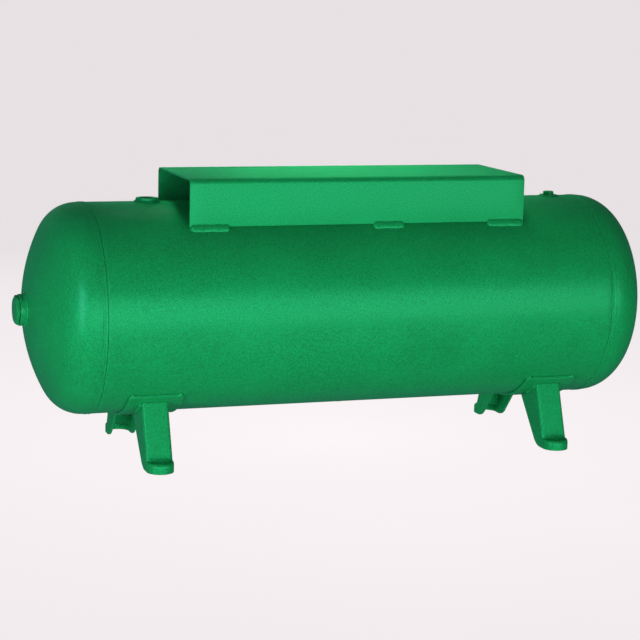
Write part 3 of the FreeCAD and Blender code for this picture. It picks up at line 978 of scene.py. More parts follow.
    def long_weld(self) -> Piece:
        """Seam bead of the rolled shell, a straight bead along X that is closed at both ends.

        Returns:
            The bead.
        """
        place = self.layout
        end = place.shell_half - 0.4 * MM
        along = np.linspace(-end, end, 1500)[:, None]
        across = across_bead(13)[None]
        height = self.long_weld_crown * (1.0 - across ** 2) ** 0.8
        height = height + 1.5 * self.ripple.relief(along, across, 4.0) * (1.0 - across ** 4)
        half = self.long_weld_width / 2.0 / place.radius
        half = half * (1.0 + 0.03 * np.sin(along * 47.0) + 0.02 * np.sin(along * 119.0))
        top = place.round_axis(along, self.long_weld_angle + half * across, place.radius - 0.05 * MM + height)
        foot_angle = self.long_weld_angle + half * np.array([[0.5, -0.5]])
        foot = place.round_axis(along, foot_angle, np.array(place.radius - 3.0 * MM))
        body = np.concatenate([top, foot], axis=1)
        ends = (body[row:row + 1].mean(axis=1, keepdims=True) for row in (0, -1))
        caps = [np.repeat(end_point, body.shape[1], axis=1) for end_point in ends]
        skin = Skin().grid(np.concatenate([caps[0], body, caps[1]]), wrap_columns=True)
        return skin.piece("seam_bead", [self.finishes.weld])


# --------------------------------------------------------------------------- weld beads


@dataclass
class Bead:
    """A weld bead between two toe lines, over a root line, with rounded ends or closed on itself."""

    first: np.ndarray
    second: np.ndarray
    root: np.ndarray
    bulge: float | np.ndarray = 0.9 * MM
    end_radius: float = 0.0
    wander: float = 0.0
    ripple: Ripple = field(default_factory=Ripple)

    def grid(self) -> np.ndarray:
        """Works out the bead's points.

        At a place across from -1 to 1, a point lies between the toes, raised away from the root by the bulge
        x (1 - across squared) and the ripples. Near an open end the whole section shrinks towards the root by
        the root of 1 less the square of the distance left, as a share of the end's radius, taken from 1.

        Returns:
            Array of stations x (places across + 1) x 3, whose last column is the root.
        """
        across = across_bead(13)
        along = way_along(self.root)
        middle = 0.5 * (self.first + self.second)
        normal = middle - self.root
        normal /= np.linalg.norm(normal, axis=1, keepdims=True)
        relief = self.ripple.relief(along[:, None], across[None], self.wander) * (1.0 - across ** 4)
        height = np.reshape(self.bulge, (-1, 1)) * (1.0 - across ** 2) + relief
        share = 0.5 * (1.0 + across)[None, :, None]
        chord = self.first[:, None] * (1.0 - share) + self.second[:, None] * share
        face = chord + height[..., None] * normal[:, None]
        section = np.concatenate([face, self.root[:, None]], axis=1)
        if self.end_radius > 0.0:
            left = np.clip(np.minimum(along, along[-1] - along) / self.end_radius, 0.0, 1.0)
            size = np.sqrt(1.0 - (1.0 - left) ** 2)
            section = self.root[:, None] + size[:, None, None] * (section - self.root[:, None])
        return section

    def add_to(self, skin: Skin) -> Skin:
        """Adds the bead to a skin; a bead without end radii is closed on itself."""
        return skin.grid(self.grid(), wrap_columns=True, wrap_rows=self.end_radius == 0.0)


def dense_ends(count: int) -> np.ndarray:
    """Numbers from 0 to 1 that crowd towards both ends: half of 1 less the cosine of a half turn's share.

    Args:
        count: How many numbers.

    Returns:
        The numbers: 0.7 of an even share and 0.3 of the crowded one.
    """
    even = np.linspace(0.0, 1.0, count)
    crowded = 0.5 * (1.0 - np.cos(math.pi * even))
    return 0.7 * even + 0.3 * crowded


# --------------------------------------------------------------------------- couplings, spuds and plugs


def turned_run(axis: Axis, profile: np.ndarray, angle: np.ndarray) -> np.ndarray:
    """A profile of (along, radius) points turned about an axis, one column for each angle."""
    return axis.place(profile[:, :1], profile[:, 1:2], angle[None])


@dataclass
class TappedRing:
    """A ring with a tapped bore: a coupling or a spud.

    Attributes:
        axis: Axis of the ring, whose zero is at the outer end or the shell's surface.
        inner: Place of the inner end along the axis.
        outer: Place of the outer end.
        radius: Outside radius.
        bore: Radius of the thread's crests.
        edge: Size of the bevel or radius at the outer edges.
        pitch: Pitch of the thread.
    """

    axis: Axis
    inner: float
    outer: float
    radius: float
    bore: float
    edge: float
    pitch: float = 2.2 * MM

    def piece(self, name: str, finishes: Finishes) -> Piece:
        """Builds the ring as an enamelled outside and a bare thread, closed into one wall.

        Args:
            name: Name of the piece.
            finishes: The shared finishes.

        Returns:
            The ring.
        """
        mouth = self.outer - self.edge
        thread = Thread(self.pitch, 0.55 * self.pitch, self.inner, mouth)
        angle = full_turn(96)
        small = 0.35 * self.edge
        outside = rounded_profile(
            [(self.inner, self.bore), (self.inner, self.radius), (self.outer, self.radius),
             (self.outer, self.bore + self.edge), (mouth, self.bore)],
            [0.0, small, 0.8 * self.edge, small, 0.0])
        along = thread.stretch()[::-1]
        ridge = thread.ridge(along[:, None], angle[None])
        run = self.axis.place(along[:, None], self.bore + ridge, angle[None])
        skin = Skin()
        skin.grid(turned_run(self.axis, outside, angle), wrap_columns=True)
        skin.grid(run, wrap_columns=True, finish=1)
        return skin.piece(name, [finishes.fitting, finishes.thread])


@dataclass
class HexPlug:
    """Hexagon-head pipe plug.

    Attributes:
        axis: Axis of the plug, whose zero is the face that it is screwed into.
        across_flats: Size of the hexagon.
        head: Height of the hexagon.
        standoff: Gap under the hexagon.
        shank: Radius of the thread's crests.
        length: Length of the shank.
        turn: Angle of a corner from the axis's zero direction.
    """

    axis: Axis
    across_flats: float
    head: float
    standoff: float
    shank: float
    length: float
    turn: float
    pitch: float = 2.2 * MM
    corner: float = 1.1 * MM
    flat_share: float = 0.92
    bevel_slope: float = math.tan(math.radians(30.0))
    break_edge: float = 0.45 * MM

    def _head_rows(self, outline: np.ndarray, circle: Callable[[float, float], np.ndarray]) -> np.ndarray:
        """Rows of the head, from its middle to its underside.

        The side meets the bevel cone where the height is the top less (distance out - flat radius) x slope.

        Args:
            outline: Perimeter of the hexagon.
            circle: Gives a ring at a radius and a height.

        Returns:
            Array of rows x points x 3.
        """
        reach = np.linalg.norm(outline, axis=1)
        top = self.standoff + self.head
        flat = self.flat_share * self.across_flats / 2.0
        fall = np.maximum(reach - flat, 0.0) * self.bevel_slope
        unit = outline / reach[:, None]

        def ring(inset: float, height: np.ndarray | float) -> np.ndarray:
            """Outline moved in by an inset, at a height."""
            plan = unit * (reach - inset)[:, None]
            return stack(plan[:, 0], plan[:, 1], height)

        rest = self.break_edge
        rows = [circle(0.0, top), circle(0.5 * flat, top), circle(flat - 2.0 * rest, top),
                circle(flat - 0.5 * rest, top - 0.12 * rest)]
        rows.append(ring(rest, top - fall + self.bevel_slope * rest - 0.2 * rest))
        rows.append(ring(0.25 * rest, top - fall - 0.25 * rest))
        rows.append(ring(0.0, top - fall - rest))
        rows.append(ring(0.0, self.standoff + rest))
        rows.append(ring(0.3 * rest, self.standoff + 0.3 * rest))
        rows.append(ring(rest, self.standoff))
        return np.stack(rows)

    def piece(self, name: str, finishes: Finishes) -> Piece:
        """Builds the plug as an enamelled head and a bare threaded shank, closed at both ends.

        Args:
            name: Name of the piece.
            finishes: The shared finishes.

        Returns:
            The plug.
        """
        outline = rounded_polygon(6, self.across_flats, self.corner, self.turn)
        angle = np.arctan2(outline[:, 1], outline[:, 0])

        def circle(radius: float, height: float) -> np.ndarray:
            """Ring of points at the outline's angles."""
            return stack(radius * np.cos(angle), radius * np.sin(angle), height)

        head = self._head_rows(outline, circle)
        neck = self.shank - 0.8 * MM
        edge = 1.4 * MM
        thread = Thread(self.pitch, 0.5 * self.pitch, -self.length + edge, -1.2 * MM)
        along = thread.stretch()[::-1]
        radius = self.shank - thread.ridge(along[:, None], angle[None])
        run = stack(radius * np.cos(angle), radius * np.sin(angle), along[:, None])
        under = self.standoff
        upper = np.stack([head[-1], circle(neck + 0.5 * MM, under), circle(neck, under - 0.3 * MM),
                          circle(neck, 0.0), run[0]])
        tip = self.shank - edge
        lower = np.stack([run[-1], *(circle(radius, -self.length) for radius in (tip, 0.5 * tip, 0.0))])
        skin = Skin()
        for rows, finish in ((head, 0), (upper, 1), (run, 1), (lower, 1)):
            skin.grid(self._laid(rows), wrap_columns=True, finish=finish)
        return skin.piece(name, [finishes.fitting, finishes.thread])

    def _laid(self, points: np.ndarray) -> np.ndarray:
        """Carries points from the plug's own frame to its axis."""
        angle = np.arctan2(points[..., 1], points[..., 0])
        return self.axis.place(points[..., 2], np.hypot(points[..., 0], points[..., 1]), angle)


@dataclass
class SocketPlug:
    """Recessed plug with a hexagon socket, flush with its spud."""

    axis: Axis
    shank: float
    length: float
    socket: float = 9.5 * MM
    depth: float = 7.0 * MM
    bevel: float = 0.8 * MM
    pitch: float = 1.8 * MM

    def piece(self, name: str, finishes: Finishes) -> Piece:
        """Builds the plug, whose socket's floor is a shallow cone as a drill leaves it.

        Args:
            name: Name of the piece.
            finishes: The shared finishes.

        Returns:
            The plug.
        """
        outline = rounded_polygon(6, self.socket, 0.5 * MM, 0.0)
        angle = np.arctan2(outline[:, 1], outline[:, 0])
        reach = np.linalg.norm(outline, axis=1)[None]
        thread = Thread(self.pitch, 0.5 * self.pitch, -self.length + self.bevel, -self.bevel)
        along = thread.stretch()[::-1, None]
        run = self.axis.place(along, self.shank - thread.ridge(along, angle[None]), angle[None])
        heights = np.array([[-self.depth - 0.9 * MM], [-self.depth], [-0.5 * MM], [-0.1 * MM], [0.0]])
        widths = np.array([[0.0], [1.0], [1.0], [1.05], [1.12]]) * reach
        socket = self.axis.place(heights, widths, angle[None])
        rim = self.shank - self.bevel
        face = turned_run(self.axis, np.array([(0.0, 0.0), (0.0, rim), (-self.bevel, self.shank)]), angle)
        face[0] = socket[-1]
        low = -self.length
        tip = np.array([(low + self.bevel, self.shank), (low, rim), (low, 0.5 * rim), (low, 0.0)])
        end = turned_run(self.axis, tip, angle)
        skin = Skin()
        for rows, finish in ((socket, 0), (face, 0), (run, 1), (end, 1)):
            skin.grid(rows, wrap_columns=True, finish=finish)
        return skin.piece(name, [finishes.fitting, finishes.thread])


@dataclass
class Fittings:
    """Couplings in the heads, ports on top, the drain, their plugs and their ring welds."""

    layout: Layout
    finishes: Finishes
    vessel: Vessel
    head_leg: float = 5.0 * MM
    head_hex: float = 63.5 * MM
    head_height: float = 9.0 * MM
    head_standoff: float = 1.2 * MM
    head_shank: float = 29.5 * MM
    head_length: float = 26.0 * MM
    hex_turn: float = math.radians(9.0)
    top_hex: float = 25.4 * MM
    top_height: float = 8.0 * MM
    top_standoff: float = 0.6 * MM
    top_shank: float = 13.0 * MM
    top_length: float = 15.0 * MM
    top_hex_turn: float = math.radians(12.0)
    coupling_bore: float = 29.8 * MM
    open_bore: float = 16.0 * MM
    plugged_bore: float = 13.3 * MM
    drain_bore: float = 10.6 * MM
    drain_shank: float = 10.3 * MM
    fine_pitch: float = 1.8 * MM
    coarse_pitch: float = 2.2 * MM
    wide_bevel: float = 1.5 * MM
    small_bevel: float = 0.8 * MM
    port_legs: Triple = (5.0 * MM, 2.0 * MM, 1.6 * MM)
    port_spreads: Triple = (5.0 * MM, 4.0 * MM, 3.4 * MM)

    def build(self) -> None:
        """Builds and dresses every fitting."""
        for side, body in ((Side.LEFT, Body.PLUG_LEFT), (Side.RIGHT, Body.PLUG_RIGHT)):
            self._coupling(side, body)
        self._coupling_welds()
        self._top_ports()
        self._drain()
        self._port_welds()

    def _head_axis(self, side: Side, foot: float) -> Axis:
        """Axis that points out of a head, with its zero direction up."""
        place = (side.value * foot, 0.0, self.layout.axis_z)
        return Axis(place, (float(side.value), 0.0, 0.0), (0.0, -1.0, 0.0))

    def _coupling(self, side: Side, body: Body) -> None:
        """Half coupling through a head, and its plug.

        Args:
            side: Which end.
            body: The body that the plug rides on.
        """
        name = side.name.lower()
        node = "head_coupling_" + name
        size = self.layout.size(node)
        outer = abs(self.layout.middle(node)[0]) + size[0] / 2.0
        axis = self._head_axis(side, outer)
        ring = TappedRing(axis, -size[0], 0.0, size[1] / 2.0, self.coupling_bore, self.wide_bevel)
        dress(ring.piece("half_coupling_" + name, self.finishes), Body.VESSEL, Slot.PLATE, node)
        plug = HexPlug(axis, self.head_hex, self.head_height, self.head_standoff, self.head_shank,
                       self.head_length, side.value * self.hex_turn)
        dress(plug.piece("hex_plug_" + name, self.finishes), body, Slot.PLUG, "head_plug_" + name)

    def _coupling_welds(self) -> None:
        """Fillet welds round both couplings, whose outer toe lies on the head's crown."""
        vessel = self.vessel
        radius = self.layout.size("head_coupling_right")[1] / 2.0
        apex = vessel.dome(0.0)[-1, 0]
        centre = apex - vessel.crown_radius
        angle = full_turn(360)
        skin = Skin()
        for side in Side:
            axis = self._head_axis(side, self.layout.seam_x)
            wobble = 0.25 * MM * np.sin(5.0 * angle + side.value) + 0.18 * MM * np.sin(11.0 * angle)
            toe = radius + self.head_leg + wobble
            foot = centre + math.sqrt(vessel.crown_radius ** 2 - radius ** 2)
            toe_x = centre + np.sqrt(vessel.crown_radius ** 2 - toe ** 2)
            first = axis.place(foot + self.head_leg + 0.5 * wobble, np.array(radius + 0.05 * MM), angle)
            second = axis.place(toe_x, toe, angle)
            root = axis.place(np.array(foot + 0.1 * MM), np.array(radius + 0.1 * MM), angle)
            Bead(first, second, root, bulge=0.9 * MM, wander=side.value + 3.0).add_to(skin)
        dress(skin.piece("coupling_beads", [self.finishes.weld]), Body.VESSEL, Slot.WELD, "coupling_welds")

    def _shell_axis(self, port: Port) -> Axis:
        """Axis of a port, whose zero is the shell's highest or lowest line."""
        foot = (port.x, 0.0, self.layout.axis_z + port.side * self.layout.radius)
        return Axis(foot, (0.0, 0.0, port.side), (1.0, 0.0, 0.0))

    def _top_ports(self) -> None:
        """Open spud, plugged spud and the plug."""
        left, right, _ = self.vessel.ports()
        top = self.layout.axis_z + self.layout.radius
        for port, name, bore, edge, pitch in (
            (left, "left", self.open_bore, self.wide_bevel, self.coarse_pitch),
            (right, "right", self.plugged_bore, self.small_bevel, self.fine_pitch),
        ):
            node = "top_port_" + name
            low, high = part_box(node)
            axis = self._shell_axis(port)
            ring = TappedRing(axis, low.z - top, high.z - top, port.radius, bore, edge, pitch)
            dress(ring.piece("port_spud_" + name, self.finishes), Body.VESSEL, Slot.PLATE, node)
        axis = self._shell_axis(right)
        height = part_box("top_port_right")[1].z
        axis = Axis((right.x, 0.0, height), axis.along, axis.zero)
        plug = HexPlug(axis, self.top_hex, self.top_height, self.top_standoff, self.top_shank,
                       self.top_length, self.top_hex_turn, pitch=self.fine_pitch, corner=0.7 * MM,
                       break_edge=0.35 * MM)
        dress(plug.piece("hex_plug_top", self.finishes), Body.PLUG_TOP, Slot.PLUG, "top_plug_right")

    def _drain(self) -> None:
        """Drain spud and its recessed plug, upside down under the shell."""
        port = self.vessel.ports()[2]
        bottom = self.layout.axis_z - self.layout.radius
        low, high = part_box("drain_spud")
        ring = TappedRing(self._shell_axis(port), bottom - high.z, bottom - low.z, port.radius,
                          self.drain_bore, self.small_bevel, self.fine_pitch)
        dress(ring.piece("drain_boss", self.finishes), Body.VESSEL, Slot.PLATE, "drain_spud")
        axis = Axis((port.x, 0.0, low.z), (0.0, 0.0, -1.0), (1.0, 0.0, 0.0))
        plug = SocketPlug(axis, self.drain_shank, self.layout.size("drain_plug")[2])
        dress(plug.piece("drain_socket_plug", self.finishes), Body.PLUG_DRAIN, Slot.PLUG, "drain_plug")

    def _port_welds(self) -> None:
        """Fillet welds round the spuds, whose toes follow the round shell.

        A toe's height is the root of the shell's radius squared less its distance from the middle plane
        squared, and the upper toe keeps the weld's leg above that.
        """
        place = self.layout
        skin = Skin()
        for port, leg, spread in zip(self.vessel.ports(), self.port_legs, self.port_spreads):
            angle = full_turn(240)
            wobble = 0.2 * MM * np.sin(4.0 * angle + 90.0 * port.x) + 0.12 * MM * np.sin(9.0 * angle)

            def rise(radius: np.ndarray, lift: np.ndarray | float) -> np.ndarray:
                """Ring of points at a radius round the port, at a height above the round shell."""
                y = radius * np.sin(angle)
                z = np.sqrt(place.radius ** 2 - y ** 2) + lift
                return stack(port.x + radius * np.cos(angle), y, place.axis_z + port.side * z)

            near = np.full_like(angle, port.radius + 0.05 * MM)
            first = rise(near, leg + 0.4 * wobble)
            second = rise(port.radius + spread + wobble, 0.02 * MM)
            root = rise(near + 0.1 * MM, 0.1 * MM)
            Bead(first, second, root, bulge=0.35 * leg / 2.0, wander=9.0 * port.x).add_to(skin)
        dress(skin.piece("port_beads", [self.finishes.weld]), Body.VESSEL, Slot.WELD, "port_welds")


# --------------------------------------------------------------------------- the platform


@dataclass
class Platform:
    """Pump platform: one plate bent into an upside-down channel, stitch-welded to the shell."""

    layout: Layout
    finishes: Finishes
    plate: float = 5.0 * MM
    bend: float = 14.0 * MM
    edge: float = 0.9 * MM
    weld_up: float = 6.0 * MM
    weld_out: float = 8.5 * MM
    end_weld: float = 98.0 * MM
    mid_weld: float = 80.0 * MM
    mid_shift: float = 71.0 * MM
    corner: float = 7.0 * MM
    run_out: float = 1.0 * MM
    bulge: float = 2.1 * MM

    def build(self) -> None:
        """Builds and dresses the channel and its welds."""
        dress(self.channel(), Body.VESSEL, Slot.PLATE, "mounting_platform")
        dress(self.welds(), Body.VESSEL, Slot.WELD, "platform_welds")

    def skin_at(self, depth: float, retreat: float) -> np.ndarray:
        """Bent skin at a depth below the outer face, drawn in from the plate's outline by a retreat.

        Args:
            depth: Depth below the outer face.
            retreat: Distance in from the outline.

        Returns:
            Array of places along X x points of the section x 3.
        """
        low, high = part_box("mounting_platform")
        half, top, foot = high.y - depth, high.z - depth, low.z + retreat
        radius = self.bend - depth
        corners = [(-half, foot), (-half, top), (half, top), (half, foot)]
        section = rounded_profile(corners, [0.0, radius, radius, 0.0], 8)
        along = np.linspace(low.x + retreat, high.x - retreat, 25)
        return stack(along[:, None], section[None, :, 0], section[None, :, 1])

    def channel(self) -> Piece:
        """The bent plate with rounded sheared edges."""
        skin = plate(self.skin_at, self.plate, self.edge, Skin())
        return skin.piece("platform_channel", [self.finishes.plate])

    def welds(self) -> Piece:
        """Six stitch beads over the flanges' lower edges.

        Returns:
            The six beads as one piece.
        """
        place = self.layout
        low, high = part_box("mounting_platform")
        middle = (low.x + high.x) / 2.0 + self.mid_shift
        half = self.mid_weld / 2.0
        spans = (
            (low.x + self.run_out, low.x + self.end_weld),
            (middle - half, middle + half),
            (high.x - self.end_weld, high.x - self.run_out),
        )
        skin = Skin()
        for flank in Flank:
            for number, (start, end) in enumerate(spans):
                x = start + (end - start) * dense_ends(int((end - start) / (0.8 * MM)))
                wander = 2.0 * number + 1.7 * flank.value
                wobble = 0.45 * MM * np.sin(x * 151.0 + wander) + 0.3 * MM * np.sin(x * 331.0)
                out = high.y + self.weld_out + wobble
                first = stack(x, flank.value * (high.y + 0.05 * MM), low.z + self.weld_up + 0.6 * wobble)
                second = place.on_shell(x, flank.value * out, place.radius, 1.0)
                root_y = high.y + 0.1 * MM
                root = place.on_shell(x, np.full_like(x, flank.value * root_y), place.radius + 0.1 * MM, 1.0)
                bead = Bead(first, second, root, self.bulge, self.corner, wander)
                bead.add_to(skin)
        return skin.piece("stitch_beads", [self.finishes.weld])


# --------------------------------------------------------------------------- saddle pads and feet


@dataclass
class Feet:
    """Saddle pads and the four stamped feet that are welded to them."""

    layout: Layout
    finishes: Finishes
    pad_plate: float = 6.0 * MM
    pad_half_angle: float = math.radians(44.0)
    pad_corner: float = 8.0 * MM
    pad_edge: float = 1.0 * MM
    seat: float = 0.3 * MM
    plate: float = 5.0 * MM
    plate_edge_radius: float = 0.9 * MM
    half_width: float = 32.5 * MM
    bend: float = 8.0 * MM
    web_margin: float = math.radians(5.5)
    web_splay: float = math.radians(20.5)
    shelf: float = 24.0 * MM
    inner_fillet: float = 8.0 * MM
    centre_out: float = 2.3 * MM
    edge_in: float = 16.5 * MM
    back_slope: float = math.radians(48.0)
    back_sweep: float = 50.0 * MM
    bolt_radius: float = 6.5 * MM
    bolt_out: float = 13.2 * MM
    web_rows: int = 40
    shelf_rows: int = 9
    columns: int = 49
    flange_columns: int = 12
    hole_columns: int = 7
    bend_steps: int = 7
    knot_reach: float = 9.0 * MM
    bead_rise: float = 2.2 * MM
    leg_weld: float = 5.0 * MM
    weld_span: tuple[float, float] = (math.radians(14.5), math.radians(2.0))

    def __post_init__(self) -> None:
        """Works out the web's lower end from the pad's angle, as the web's margin and splay give it."""
        self.pad_outer = self.layout.radius + self.seat + self.pad_plate
        angle = self.pad_half_angle - self.web_margin
        top_y = self.pad_outer * math.sin(angle)
        top_z = self.layout.axis_z - self.pad_outer * math.cos(angle)
        self.web_foot = top_y + (top_z - self.shelf) * math.tan(self.web_splay)
        self.foot_centre = self.web_foot + self.centre_out

    def build(self) -> None:
        """Builds and dresses pads, feet and welds."""
        pad_beads, leg_beads = Skin(), Skin()
        for side in Side:
            name = side.name.lower()
            x = self.layout.middle("saddle_pad_" + name)[0]
            dress(self.pad("saddle_" + name, x), Body.VESSEL, Slot.PLATE, "saddle_pad_" + name)
            for flank in Flank:
                label = flank.name.lower() + "_" + name
                dress(self.leg("foot_" + label, x, flank), Body.VESSEL, Slot.PLATE, "leg_" + label)
                self.pad_bead(pad_beads, x, flank)
                self.leg_beads(leg_beads, x, flank)
        dress(pad_beads.piece("pad_beads", [self.finishes.weld]), Body.VESSEL, Slot.WELD, "pad_welds")
        dress(leg_beads.piece("leg_beads", [self.finishes.weld]), Body.VESSEL, Slot.WELD, "leg_welds")

    def _under(self, x: np.ndarray, radius: np.ndarray | float, angle: np.ndarray) -> np.ndarray:
        """Points about the vessel's axis, at angles from straight down towards the back."""
        return stack(x, radius * np.sin(angle), self.layout.axis_z - radius * np.cos(angle))

    def pad(self, name: str, x: float) -> Piece:
        """Rolled plate with round corners.

        At a distance s round the shell its half-width is W - c + the root of (c squared - (s - (S - c))
        squared) within c of its ends, and W elsewhere.

        Args:
            name: Name of the piece.
            x: The pad's middle along X.

        Returns:
            The pad.
        """
        length = self.pad_outer * self.pad_half_angle
        width = self.layout.size("saddle_pad_left")[0] / 2.0

        def skin_at(depth: float, retreat: float) -> np.ndarray:
            """Pad's skin at a depth, drawn in by a retreat."""
            corner = self.pad_corner - retreat
            reach, half = length - retreat, width - retreat
            end = reach - corner * (1.0 - np.sin(np.linspace(0.0, QUARTER, 9)))
            run = np.concatenate([-end[::-1], np.linspace(-end[0], end[0], 56)[1:-1], end])
            into = np.clip(np.abs(run) - (reach - corner), 0.0, corner)
            half_width = half - corner + np.sqrt(np.maximum(corner ** 2 - into ** 2, 0.0))
            across = np.linspace(-1.0, 1.0, 21)[None] * half_width[:, None]
            return self._under(x + across, self.pad_outer - depth, (run / self.pad_outer)[:, None])

        return plate(skin_at, self.pad_plate, self.pad_edge, Skin()).piece(name, [self.finishes.plate])

    def _front_columns(self, inset: float, floor: float, top_radius: float) -> np.ndarray:
        """Web, bends, shelf and round foot, as rows from the pad to the floor.

        A column starts on the upright's outline and ends at the same share of the round foot's outline, a
        distance D away in plan. On the way it goes down the web, round a hollow quarter circle, out along the
        shelf, round the rim's quarter circle, and down to the floor. Both radii are at most 0.45 x D, so the
        shelf runs out into the flat flanks. Above the shelf everything leans inwards by height x tan(splay).

        Args:
            inset: Depth below the outer face.
            floor: Height of the lowest row.
            top_radius: Radius of the pad's circle, where the columns start.

        Returns:
            Array of rows x columns x 3.
        """
        half, bend = self.half_width - inset, self.bend - inset
        shelf = self.shelf - inset
        lean = math.tan(self.web_splay)
        web = self.web_foot + inset * lean - inset / math.cos(self.web_splay)
        share = np.linspace(0.0, 1.0, self.columns)
        start = self._outline(share, half, bend, web - bend, web, half - bend)
        foot = self._outline(share, half, half, web - bend, self.foot_centre + half, 0.0)
        gap = foot - start
        distance = np.linalg.norm(gap, axis=1)
        hollow = np.minimum(self.inner_fillet + inset, 0.45 * distance)
        rim = np.minimum(bend, 0.45 * distance)
        turn = np.linspace(0.0, QUARTER, self.bend_steps + 1)[:, None]
        base = start[:, 1] - (self.layout.axis_z - shelf) * lean
        root = np.sqrt((base * lean) ** 2 - (1.0 + lean ** 2) * (base ** 2 - top_radius ** 2))
        top = self.layout.axis_z + (base * lean - root) / (1.0 + lean ** 2)
        down = np.linspace(0.0, 1.0, self.web_rows)[:, None]
        web_z = top * (1.0 - down) + (shelf + hollow) * down
        shelf_out = np.linspace(0.0, 1.0, self.shelf_rows)[:, None]
        wall = np.linspace(0.0, 1.0, 7)[:, None]
        out = np.concatenate([
            0.0 * web_z, hollow * (1.0 - np.cos(turn[1:])),
            hollow + (distance - rim - hollow) * shelf_out[1:],
            distance - rim + rim * np.sin(turn[1:]), distance + 0.0 * wall[1:],
        ])
        z = np.concatenate([
            web_z, shelf + hollow * (1.0 - np.sin(turn[1:])), shelf + 0.0 * shelf_out[1:] * distance,
            shelf - rim + rim * np.cos(turn[1:]), (shelf - rim) * (1.0 - wall[1:]) + floor * wall[1:],
        ])
        going = out / np.maximum(distance, 1.0e-9)
        x = start[:, 0] + gap[:, 0] * going
        y = start[:, 1] + gap[:, 1] * going - np.maximum(z - shelf, 0.0) * lean
        return stack(x, y, z)

    def _outline(self, share: np.ndarray, half: float, radius: float, back: float, front: float,
                 flat: float) -> np.ndarray:
        """Points at shares of the length of a rounded U: side, quarter circle, flat, quarter circle, side.

        Args:
            share: Shares from 0 to 1.
            half: Half the width.
            radius: Radius of the quarter circles.
            back: Place of the open ends along Y.
            front: Place of the flat along Y.
            flat: Half the length of the flat.

        Returns:
            Array of shares x 2.
        """
        turn = np.linspace(0.0, QUARTER, 40)
        centre = front - radius
        corner = stack(-flat - radius * np.cos(turn), centre + radius * np.sin(turn))
        path = np.concatenate([[(-half, back)], corner, corner[::-1] * np.array([-1.0, 1.0]), [(half, back)]])
        return points_at(share, path)

    def _back_edge(self, share: np.ndarray, floor: float, top_radius: float, retreat: float) -> np.ndarray:
        """Points at shares of a flange's back edge, from the pad down its slope and round its sweep.

        Args:
            share: Shares from 0 to 1.
            floor: Height of the lowest point.
            top_radius: Radius of the pad's circle, where the edge starts.
            retreat: Distance in from the outline.

        Returns:
            Array of shares x (y, z).
        """
        slope, sweep = self.back_slope, self.back_sweep
        foot_y = self.web_foot - self.edge_in
        turn = np.linspace(slope, 0.0, 30)
        curve = stack(foot_y - sweep * np.sin(turn), sweep * (1.0 - np.cos(turn)))
        rise = np.linspace(1.0, 0.0, 120)[:-1] * self.layout.axis_z / 2.0
        straight = stack(curve[0, 0] - rise / math.tan(slope), curve[0, 1] + rise)
        path = np.concatenate([straight, curve])
        path[:, 0] += 1.2 * retreat
        outside = np.hypot(path[:, 0], path[:, 1] - self.layout.axis_z)
        first = np.flatnonzero(outside > top_radius)[0]
        part = (top_radius - outside[first - 1]) / (outside[first] - outside[first - 1])
        start = path[first - 1] + part * (path[first] - path[first - 1])
        path = np.concatenate([[start], path[first:]])
        path[:, 1] = np.maximum(path[:, 1], floor)
        return points_at(share, path)

    def _flange(self, front: np.ndarray, floor: float, top_radius: float, retreat: float) -> np.ndarray:
        """Flat flange between the bend's edge and the back edge.

        Its points are shared out between both edges, and the first row is drawn onto the pad's circle by an
        amount that fades down the flange as the cube of the share left.

        Args:
            front: Points of the bend's edge.
            floor: Height of the lowest point.
            top_radius: Radius of the pad's circle.
            retreat: Distance in from the outline.

        Returns:
            Array of rows x columns x 3, from the bend's edge to the back edge.
        """
        length = way_along(front)
        share = length / length[-1]
        back = self._back_edge(share, floor, top_radius, retreat)
        over = np.linspace(0.0, 1.0, self.flange_columns)[None, :, None]
        grid = front[:, None, 1:] * (1.0 - over) + back[:, None] * over
        axis_z = self.layout.axis_z
        ends = np.arctan2(grid[0, [0, -1], 0], axis_z - grid[0, [0, -1], 1])
        angle = ends[0] * (1.0 - over[0, :, 0]) + ends[1] * over[0, :, 0]
        circle = stack(top_radius * np.sin(angle), axis_z - top_radius * np.cos(angle))
        grid = grid + (circle - grid[0])[None] * ((1.0 - share) ** 3)[:, None, None]
        return stack(front[:, :1], grid[..., 0], grid[..., 1])

    def _leg_skin(self, depth: float, retreat: float) -> np.ndarray:
        """Stamping's skin at a depth: left flange, front and right flange as one grid.

        Args:
            depth: Depth below the outer face.
            retreat: Distance in from the outline.

        Returns:
            Array of rows x columns x 3, for a foot at x = 0 on the rear side.
        """
        top_radius = self.pad_outer + self.seat + retreat
        front = self._front_columns(depth, retreat, top_radius)
        left = self._flange(front[:, 0], retreat, top_radius, retreat)[:, :0:-1]
        right = self._flange(front[:, -1], retreat, top_radius, retreat)[:, 1:]
        return np.concatenate([left, front, right], axis=1)

    def leg(self, name: str, x: float, flank: Flank) -> Piece:
        """Stamped foot at one corner: both skins, their rim and the bolt hole through the shelf.

        Args:
            name: Name of the piece.
            x: The foot's middle along X.
            flank: Front or rear.

        Returns:
            The foot.
        """

        def skin_at(depth: float, retreat: float) -> np.ndarray:
            """Skin of this corner's foot."""
            mirror, shift = np.array([1.0, flank.value, 1.0]), np.array([x, 0.0, 0.0])
            return self._leg_skin(depth, retreat) * mirror + shift

